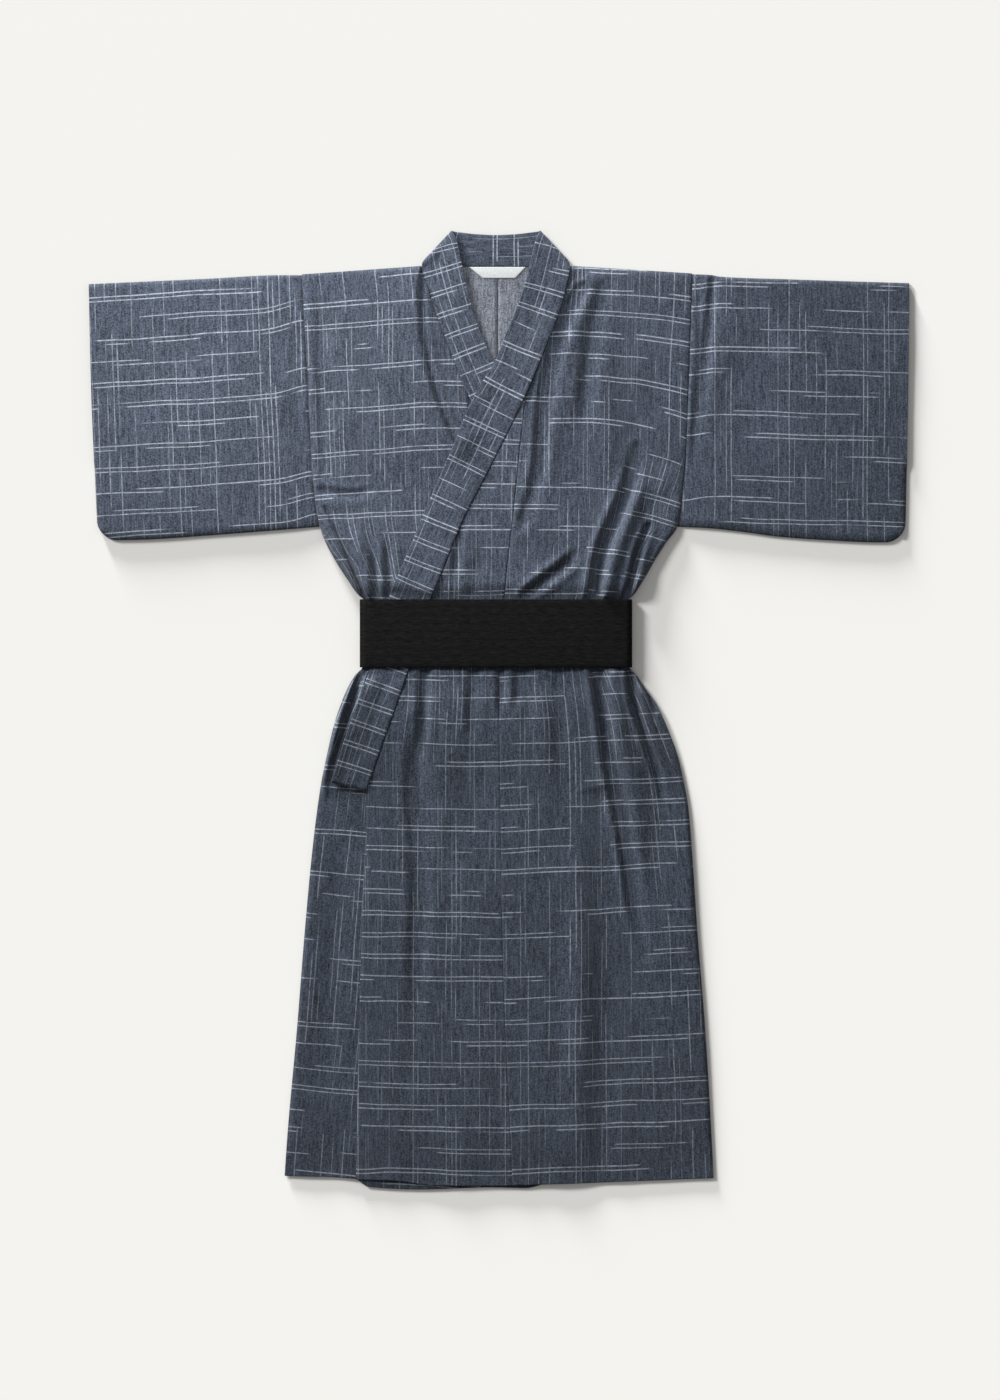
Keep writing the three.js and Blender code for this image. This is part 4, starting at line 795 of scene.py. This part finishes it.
def turn_outwards(obj):
    """Faces look up on what lies on top, and down on the back."""
    mesh = obj.data
    n = len(mesh.polygons)
    normals = np.empty(n * 3)
    mesh.polygons.foreach_get("normal", normals)
    normals = normals.reshape(-1, 3)
    area = np.empty(n)
    mesh.polygons.foreach_get("area", area)
    centre = np.empty(n * 3)
    mesh.polygons.foreach_get("center", centre)
    top = centre.reshape(-1, 3)[:, 2] > 0.0028
    if (normals[:, 2] * area)[top].sum() < 0:
        mesh.flip_normals()


def okumi_panel(which):
    sign = 1 if which == "left" else -1
    height = over_z if which == "left" else under_z
    okumi, seam, edge, hem = okumi_of[which], collar_seam[which], edge_of[which], hem_of[which]
    top = 466.0 if which == "left" else 458.0
    end = top + 709
    across = spread(190.0, 2.8 if which == "left" else 6.0)
    step = 3.2 if which == "left" else 7.0
    s = np.unique(np.concatenate([np.arange(0, end - 14, step), [end - 10, end - 6, end - 3, end - 1.2, end]]))
    y0 = top - s
    x_free = np.where(y0 > -121, seam(y0), edge(y0)) + 0.45 * sign
    x_seam = okumi(y0) - 0.08 * sign
    X = mix(x_free[:, None], x_seam[:, None], across[None, :])
    Y = y0[:, None] + (hem(X) + 709) * smooth(end - 110, end, s)[:, None]
    Z = height(X, Y)
    d = np.abs(X - x_free[:, None])
    by_collar = smooth(-126, -118, Y)
    # below the collar the edge is turned in: a little thicker, and rolled down at the rim
    turned = 0.3 * (1 - smooth(13, 17, d)) * smooth(-1, 3, d) - 0.5 * np.exp(-((d / 1.6) ** 2))
    Z = Z + (1 - by_collar) * turned * (sign > 0) - by_collar * 1.3 * np.exp(-((d / 1.8) ** 2))
    Z = dipped(Z, np.abs(X - x_seam[:, None]), mix(0.55, 1.5, smooth(-20, 160, Y)), 0.9)
    Z = np.maximum(Z, back_z(Y) + 0.9)  # it never sinks into the back
    _, taken = creased([c for c in CREASES if c[7]], X, Y)
    u = X + taken - taken[:, -1:]
    v = Y + 0.018 * X * (1 - smooth(0, 120, Y)) - 0.01 * X * smooth(60, 200, Y)
    uvs = np.stack([u, v], -1).reshape(-1, 2) + np.array(PHASE["okumi_" + which])
    obj = mesh_from("okumi_" + which + "_cloth", np.stack([X, Y, Z], -1).reshape(-1, 3), uvs, grid_quads(*X.shape), [FACE, REVERSE])
    turn_outwards(obj)
    return shell(obj, CLOTH)


# ---- sleeves -------------------------------------------------------------------------
def sleeve(which):
    spec = RIGHT_SLEEVE if which == "right" else LEFT_SLEEVE
    way = spec["side"]
    arm, top, cuff, bottom = line(spec["armhole"]), line(spec["top"]), line(spec["cuff"]), line(spec["bottom"])
    long = 376.5
    near = np.array([0, 0.5, 1.2, 2.2, 3.6, 5.4, 7.6, 10.2])
    down = np.concatenate([near, np.linspace(14, long - 14, 104), long - near[::-1]]) / long
    out = spread(325.0, 3.2)
    V, U = np.meshgrid(down, out, indexing="ij")

    y_arm = mix(spec["armhole"][0][0], 276.0, V)
    arm_x = np.abs(arm(y_arm)) + 0.5
    guess = mix(arm_x, 612, U)
    y = mix(top(guess), bottom(guess), V)
    x = mix(arm_x, cuff(y), U)
    edge_x, edge_y, r = cuff(y), bottom(x), SLEEVE_CORNER
    a, b = edge_x - x, y - edge_y
    inside = (a < r) & (b < r)
    da, db = r - a, r - b
    far = np.maximum(np.hypot(da, db), 1e-6)
    scale = np.maximum(da, db) / far
    x = np.where(inside, edge_x - r + da * scale, x)
    y = np.where(inside, edge_y + r - db * scale, y)

    body = mix(mix(5.6, 7.6, smooth(0, 0.16, U)), 6.9, smooth(0.84, 1, U))
    rise, _ = creased(SLEEVE_CREASES[which], x * way, y)
    body = top_of(body + rise + 0.55 * swell(x, y, 90, 90, 21 + way) + 0.3 * swell(x, y, 40, 55, 31 + way), 2.9)
    d_top, d_bottom, d_cuff = V * long, (1 - V) * long, np.maximum(edge_x - x, 0)
    closed = smooth(CUFF_OPENING - 14, CUFF_OPENING + 6, V * long)
    r_edge = lambda d, rad: np.sqrt(np.clip(1 - (1 - np.clip(d / rad, 0, 1)) ** 2, 0, 1))
    round_top = r_edge(d_top, 6.0)
    round_bottom = r_edge(d_bottom, 11.0)
    round_cuff = mix(1.0, r_edge(d_cuff, 10.0), closed)
    # the front: up from the seam line at the edges, which lies a little above the surface
    line_z = 1.5
    front_z = line_z + (body - line_z) * round_top * round_bottom * round_cuff
    # seam at the armhole, and a turned edge at the hand
    front_z = dipped(front_z, (x - arm_x), 2.6 if which == "right" else 2.0, 1.9)
    hand = smooth(13.5, 11.5, d_cuff) * (1 - closed)
    front_z = np.maximum(front_z, line_z)
    front_z = front_z + 0.22 * hand - 0.25 * np.exp(-(((d_cuff - 12.5) / 1.2) ** 2)) * (1 - closed)
    back_z0 = 0.75 + (line_z - 0.75) * (1 - round_top * round_bottom * mix(1.0, r_edge(d_cuff, 7.0), closed))
    X = x * way
    front = np.stack([X, y, front_z], -1)
    back = np.stack([X, y, back_z0], -1)
    # one sheet: up the front, over the fold at the top, and down the back
    sheet = np.concatenate([front[::-1], back[1:]], 0)
    if which == "right":  # the rows rise towards the body, and turn up more at the seam
        row = y - 0.062 * (X + 450) - 10 * (1 - smooth(0, 75, x - arm_x)) ** 2
        col = X + 0.035 * (y - 450)
    else:
        row = y + 0.028 * (X - 300) + 6 * (1 - smooth(0, 60, x - arm_x)) ** 2
        col = X
    cloth_front = np.stack([col, row], -1)
    cloth_back = np.stack([col, 2 * row[0][None, :] - row], -1)
    cloth = np.concatenate([cloth_front[::-1], cloth_back[1:]], 0)
    n, m = sheet.shape[:2]
    uvs = cloth.reshape(-1, 2) + np.array(PHASE["sleeve_" + which])
    points, quads = sheet.reshape(-1, 3), grid_quads(n, m)
    # close the seam along the bottom, and the lower part of the outer edge
    first_row, last_row = np.arange(m), (n - 1) * m + np.arange(m)
    points[last_row] = points[first_row]
    obj = mesh_from("sleeve_" + which + "_cloth", points, uvs, quads, [FACE, REVERSE])
    import bmesh
    bm = bmesh.new()
    bm.from_mesh(obj.data)
    bm.verts.ensure_lookup_table()
    pairs = [v for k in list(first_row) + list(last_row) for v in [bm.verts[k]]]
    bmesh.ops.remove_doubles(bm, verts=pairs, dist=1e-6)
    bm.verts.ensure_lookup_table()
    lowest = [v for v in bm.verts if abs(abs(v.co.x) - float(cuff(v.co.y * 1000)) * MM) < 4e-5 and v.co.y * 1000 < float(top(610)) - CUFF_OPENING - 4]
    bmesh.ops.remove_doubles(bm, verts=lowest, dist=1.5e-4)
    bm.to_mesh(obj.data)
    bm.free()
    turn_outwards(obj)
    return shell(obj, CLOTH)


# ---- collar --------------------------------------------------------------------------
def bridged(height, pick, x, y):
    z = height(x, y)
    for dx in (-16, -8, 0, 8, 16):
        for dy in (-16, -8, 0, 8, 16):
            z = pick(z, height(x + dx, y + dy))
    return z


def collar():
    n = len(COLLAR)
    c_at = np.linspace(0, 1, 5)
    heights = np.zeros((n, 5))
    for i, row in enumerate(COLLAR):
        x, y = mix(row[1], row[3], c_at), mix(row[2], row[4], c_at)
        if row[0] == "neck":
            heights[i] = mix(row[5], row[6], c_at)
        elif row[0] == "over":
            z = bridged(full_z, np.maximum, x, y) + STACK + 0.3
            limit = OBI_HEIGHT - OBI_WALL - 0.4 - 1.5 + 1.2 * np.maximum(0, outside_obi(y) - 9)
            heights[i] = np.minimum(z, limit) + row[5] * (1 - c_at)
        else:
            seen = smooth(470, 500, y)
            low = back_z(y) + 3.4
            high = np.maximum(bridged(full_z, np.minimum, x, y) - 0.2, low)
            heights[i] = mix(low, high, seen) + row[5] * (1 - c_at)
    t = np.arange(n, dtype=float)
    fine = np.linspace(0, n - 1, (n - 1) * 9 + 1)
    cols = [line(list(zip(t, [row[k] for row in COLLAR])))(fine) for k in (1, 2, 3, 4)]
    zs = np.stack([line(list(zip(t, heights[:, k])))(fine) for k in range(5)], 1)
    fx, fy, sx, sy = cols
    wide = np.hypot(fx - sx, fy - sy).mean()

    def middle(c):
        """The band's middle surface at c, from the free edge (0) to the seam (1)."""
        z = np.stack([np.interp(c, c_at, row) for row in zs])
        return np.stack([fx[:, None] + (sx - fx)[:, None] * c, fy[:, None] + (sy - fy)[:, None] * c, z], -1)

    half = 1.15
    r = half / wide
    flat = np.unique(np.concatenate([np.linspace(r, 1 - 6 / wide, 12), 1 - np.array([4.2, 2.8, 1.6, 0.8, 0]) / wide]))
    top = [(c, 1.0) for c in flat[::-1]]
    nose = [(r - r * math.sin(a), math.cos(a)) for a in np.linspace(0, math.pi, 9)[1:-1]]
    low = [(c, -1.0) for c in flat]
    ring = top + nose + low
    c_all = np.array([c for c, _ in ring])
    q_all = np.array([q for _, q in ring])
    mid = middle(np.clip(c_all, 0, 1))
    run = np.gradient(mid, axis=0)
    width = np.stack([(sx - fx), (sy - fy), zs[:, -1] - zs[:, 0]], -1)[:, None, :]
    normal = np.cross(run, width)
    normal /= np.maximum(np.linalg.norm(normal, axis=-1, keepdims=True), 1e-9)
    # the band is a little fuller in the middle, and drawn in along the seam
    pull = 1 - 0.55 * np.exp(-((((1 - c_all) * wide) / 2.0) ** 2))
    full = half * pull * (1 + 0.10 * np.sin(math.pi * np.clip(c_all, 0, 1)))
    s = np.concatenate([[0], np.cumsum(np.linalg.norm(np.diff(mid[:, len(flat) // 2], axis=0), axis=1))])
    lump = 0.22 * swell(s[:, None] + 0 * c_all, c_all[None, :] * wide + 0 * s[:, None], 34, 24, 77)
    points = mid + normal * (q_all * full)[None, :, None]
    points[..., 2] += lump * (q_all > 0.2)
    points[..., 2] = np.maximum(points[..., 2], 0.4)
    # threads: along the band, and across it over the folded edge
    around = np.concatenate([[0], np.cumsum(np.hypot(np.diff(c_all) * wide, np.diff(q_all) * half))])
    # wefts run square to the band, also where its stations lie askew
    spine = mid[:, len(flat) // 2, :2]
    along = np.gradient(spine, axis=0)
    along /= np.linalg.norm(along, axis=1)[:, None]
    askew = ((mid[..., :2] - spine[:, None]) * along[:, None]).sum(-1)
    cloth = np.stack([np.broadcast_to(around, mid.shape[:2]), s[:, None] + askew], -1)
    n_rows, m = points.shape[:2]
    uvs = cloth.reshape(-1, 2) + np.array(PHASE["collar"])
    obj = mesh_from("collar_cloth", points.reshape(-1, 3), uvs, grid_quads(n_rows, m), [COLLAR_FACE, COLLAR_FACE])
    turn_outwards(obj)
    # ends: bridge the top and bottom of the first and last rows
    import bmesh
    bm = bmesh.new()
    bm.from_mesh(obj.data)
    bm.verts.ensure_lookup_table()
    uv = bm.loops.layers.uv.verify()
    count = len(flat)
    for row, flip in ((0, False), (n_rows - 1, True)):
        upper = [bm.verts[row * m + k] for k in range(count)]
        lower = [bm.verts[row * m + m - 1 - k] for k in range(count)]
        for k in range(count - 1):
            vs = [upper[k], upper[k + 1], lower[k + 1], lower[k]]
            f = bm.faces.new(vs if flip else vs[::-1])
            f.smooth = True
            for loop in f.loops:
                near = [l for l in loop.vert.link_loops if l.face != f]
                if near:
                    loop[uv].uv = near[0][uv].uv
    bmesh.ops.recalc_face_normals(bm, faces=bm.faces[:])
    bm.to_mesh(obj.data)
    bm.free()
    top_faces = [p for p in obj.data.polygons if p.center.z > 0.012]
    if sum(p.normal.z * p.area for p in top_faces) < 0:
        obj.data.flip_normals()
    return shell(obj, 0.5, -1.0)


# ---- label ---------------------------------------------------------------------------
def label():
    rows, cols = 14, 44
    points, uvs = [], []
    for i in range(rows):
        t = i / (rows - 1)
        y = mix(664.9, 648.3, t)
        x0, x1 = mix(-45.0, -24.3, t), mix(40.5, 24.6, t)
        for j in range(cols):
            s = j / (cols - 1)
            x = mix(x0, x1, s)
            edge = min(s, 1 - s) * (x1 - x0)
            z = 2.35 + 0.35 * math.sin(math.pi * t) - 0.45 * math.exp(-((edge / 1.4) ** 2)) + 0.25 * t
            points.append((x, y, z))
            uvs.append((x, y))
    obj = mesh_from("neck_label_tape", points, uvs, grid_quads(rows, cols), [TAPE])
    turn_outwards(obj)
    if sum(p.normal.z for p in obj.data.polygons) < 0:
        obj.data.flip_normals()
    return shell(obj, 0.5)


# ---- obi -----------------------------------------------------------------------------
def obi():
    t, r, mid = OBI_WALL, OBI_HEIGHT / 2 - OBI_WALL / 2, OBI_HEIGHT / 2
    lap = t / 2 + t + 0.3
    path = [(x, lap) for x in np.linspace(OBI_LAP, -OBI_LAP - 4, 30)]
    path += [(-OBI_LAP - 9, lap * 0.85 + 0.18), (-OBI_LAP - 14, (lap + t / 2) / 2), (-OBI_LAP - 19, t / 2 + 0.4)]
    left, right = OBI_LEFT_END + r + t / 2, OBI_RIGHT_END - r - t / 2
    path += [(x, t / 2) for x in np.linspace(-OBI_LAP - 24, left + 1, 26)]
    path += [(left + r * math.cos(a), mid + r * math.sin(a)) for a in np.linspace(-math.pi / 2, -1.5 * math.pi, 17)]
    path += [(x, OBI_HEIGHT - t / 2) for x in np.linspace(left, right, 84)[1:-1]]
    path += [(right + r * math.cos(a), mid + r * math.sin(a)) for a in np.linspace(math.pi / 2, -math.pi / 2, 17)]
    path += [(x, t / 2) for x in np.linspace(right, -OBI_LAP, 46)[1:]]
    path = np.array(path)
    d = np.gradient(path, axis=0)
    normal = np.stack([-d[:, 1], d[:, 0]], 1)
    normal /= np.linalg.norm(normal, axis=1, keepdims=True)
    along = np.concatenate([[0], np.cumsum(np.linalg.norm(np.diff(path, axis=0), axis=1))])
    # the section: a flat band with folded, slightly rounded long edges
    half, e = t / 2, 1.0
    ring = []
    across = np.linspace(-OBI_HALF + e, OBI_HALF - e, 34)
    ring += [(a, half) for a in across]
    ring += [(OBI_HALF - e + e * math.sin(q), (half) * math.cos(q)) for q in np.linspace(0, math.pi, 9)[1:-1]]
    ring += [(a, -half) for a in across[::-1]]
    ring += [(-OBI_HALF + e - e * math.sin(q), -half * math.cos(q)) for q in np.linspace(0, math.pi, 9)[1:-1]]
    ring = np.array(ring)
    n, m = len(path), len(ring)
    P = np.zeros((n, m, 3))
    top = path[:, 1] > OBI_HEIGHT - t - 0.6
    for j, (a, q) in enumerate(ring):
        P[:, j, 0] = path[:, 0] + normal[:, 0] * q
        P[:, j, 1] = OBI_MIDDLE + a
        P[:, j, 2] = path[:, 1] + normal[:, 1] * q
        edge = np.exp(-(((OBI_HALF - abs(a)) / 3.0) ** 2))
        soft = 0.28 * swell(path[:, 0], np.full(n, a), 120, 60, 51) - 0.3 * edge
        P[:, j, 2] += np.where(top, soft - 0.15, 0)
    around = np.concatenate([[0], np.cumsum(np.linalg.norm(np.diff(ring, axis=0), axis=1))])
    uvs = np.stack(np.broadcast_arrays(along[:, None], around[None, :]), -1).reshape(-1, 2)
    i, j = np.meshgrid(np.arange(n - 1), np.arange(m), indexing="ij")
    a = i * m + j
    b = i * m + (j + 1) % m
    quads = np.stack([a, b, b + m, a + m], -1).reshape(-1, 4)
    obj = mesh_from("obi_band", P.reshape(-1, 3), uvs, quads, [OBI_CLOTH])
    import bmesh
    bm = bmesh.new()
    bm.from_mesh(obj.data)
    bmesh.ops.holes_fill(bm, edges=[e_ for e_ in bm.edges if e_.is_boundary], sides=0)
    bmesh.ops.recalc_face_normals(bm, faces=bm.faces[:])
    bm.to_mesh(obj.data)
    bm.free()
    return obj


# ---- build, attach each piece to the root, and hide the parts it stands for -----------
made = {
    "body_right": body_panel("right"), "body_left": body_panel("left"),
    "okumi_right": okumi_panel("right"), "okumi_left": okumi_panel("left"),
    "sleeve_right": sleeve("right"), "sleeve_left": sleeve("left"),
    "collar": collar(), "neck_label": label(), "obi": obi(),
}
STANDS_FOR = {"body_right": ("back_right", "front_right"), "body_left": ("back_left", "front_left")}
for node, piece in made.items():
    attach(piece, "root")
    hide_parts(*STANDS_FOR.get(node, (node,)))

# ---- floor, light and camera -----------------------------------------------------------
bpy.ops.mesh.primitive_plane_add(size=14, location=(0, 0, -0.0002))
floor = bpy.context.object
floor.name = "floor"
f = Nodes("pale paper floor")
f.shader.inputs["Base Color"].default_value = (0.86, 0.855, 0.825, 1)
f.shader.inputs["Roughness"].default_value = 0.9
f.shader.inputs["Specular IOR Level"].default_value = 0.1
floor.data.materials.append(f.material)

world = bpy.data.worlds.new("studio")
bpy.context.scene.world = world
world.use_nodes = True
world.node_tree.nodes["Background"].inputs[0].default_value = (1.0, 0.995, 0.99, 1)
world.node_tree.nodes["Background"].inputs[1].default_value = 0.31


cloth_only = bpy.data.collections.new("lit cloth")
for piece in made.values():
    cloth_only.objects.link(piece)


def lamp(kind, name, rotation, energy, location=(0, 0, 0), lights=None, **settings):
    data = bpy.data.lights.new(name, kind)
    data.energy = energy
    for key, value in settings.items():
        setattr(data, key, value)
    obj = bpy.data.objects.new(name, data)
    obj.location, obj.rotation_euler = location, rotation
    bpy.context.scene.collection.objects.link(obj)
    if lights is not None:
        obj.light_linking.receiver_collection = lights
    return obj


def sun(name, azimuth, elevation, strength, angle, lights=None):
    """A soft sun at a compass angle (0 is the collar end, 90 the left of the picture)."""
    a, e = math.radians(azimuth), math.radians(elevation)
    way = Vector((math.sin(a) * math.cos(e), -math.cos(a) * math.cos(e), -math.sin(e)))
    return lamp("SUN", name, way.to_track_quat("-Z", "Y").to_euler(), strength, lights=lights, angle=math.radians(angle))


def softbox(name, location, aim, watts, size):
    way = Vector(aim) - Vector(location)
    return lamp("AREA", name, way.to_track_quat("-Z", "Y").to_euler(), watts, location, cloth_only, size=size)


sun("key", 50, 27, 3.0, 13)
sun("rake", 23, 7.0, 7.9, 9)
# the garment is lit more at its upper left, and less towards its hem
softbox("upper left", (-0.55, 0.8, 0.55), (0.03, -0.06, 0), 10.2, 0.35)
softbox("upper", (0.1, 0.95, 0.75), (0.05, 0.05, 0), 7.0, 0.4)

cam_data = bpy.data.cameras.new("camera")
cam_data.lens, cam_data.sensor_width, cam_data.clip_end = 100, 36, 50
camera = bpy.data.objects.new("camera", cam_data)
camera.location = (0.0015, 0.01575, 2.1 * 100 / 36)
camera.rotation_euler = (0, 0, 0)
bpy.context.scene.collection.objects.link(camera)
bpy.context.scene.camera = camera
bpy.context.scene.view_settings.view_transform = "Standard"
bpy.context.scene.view_settings.look = "None"
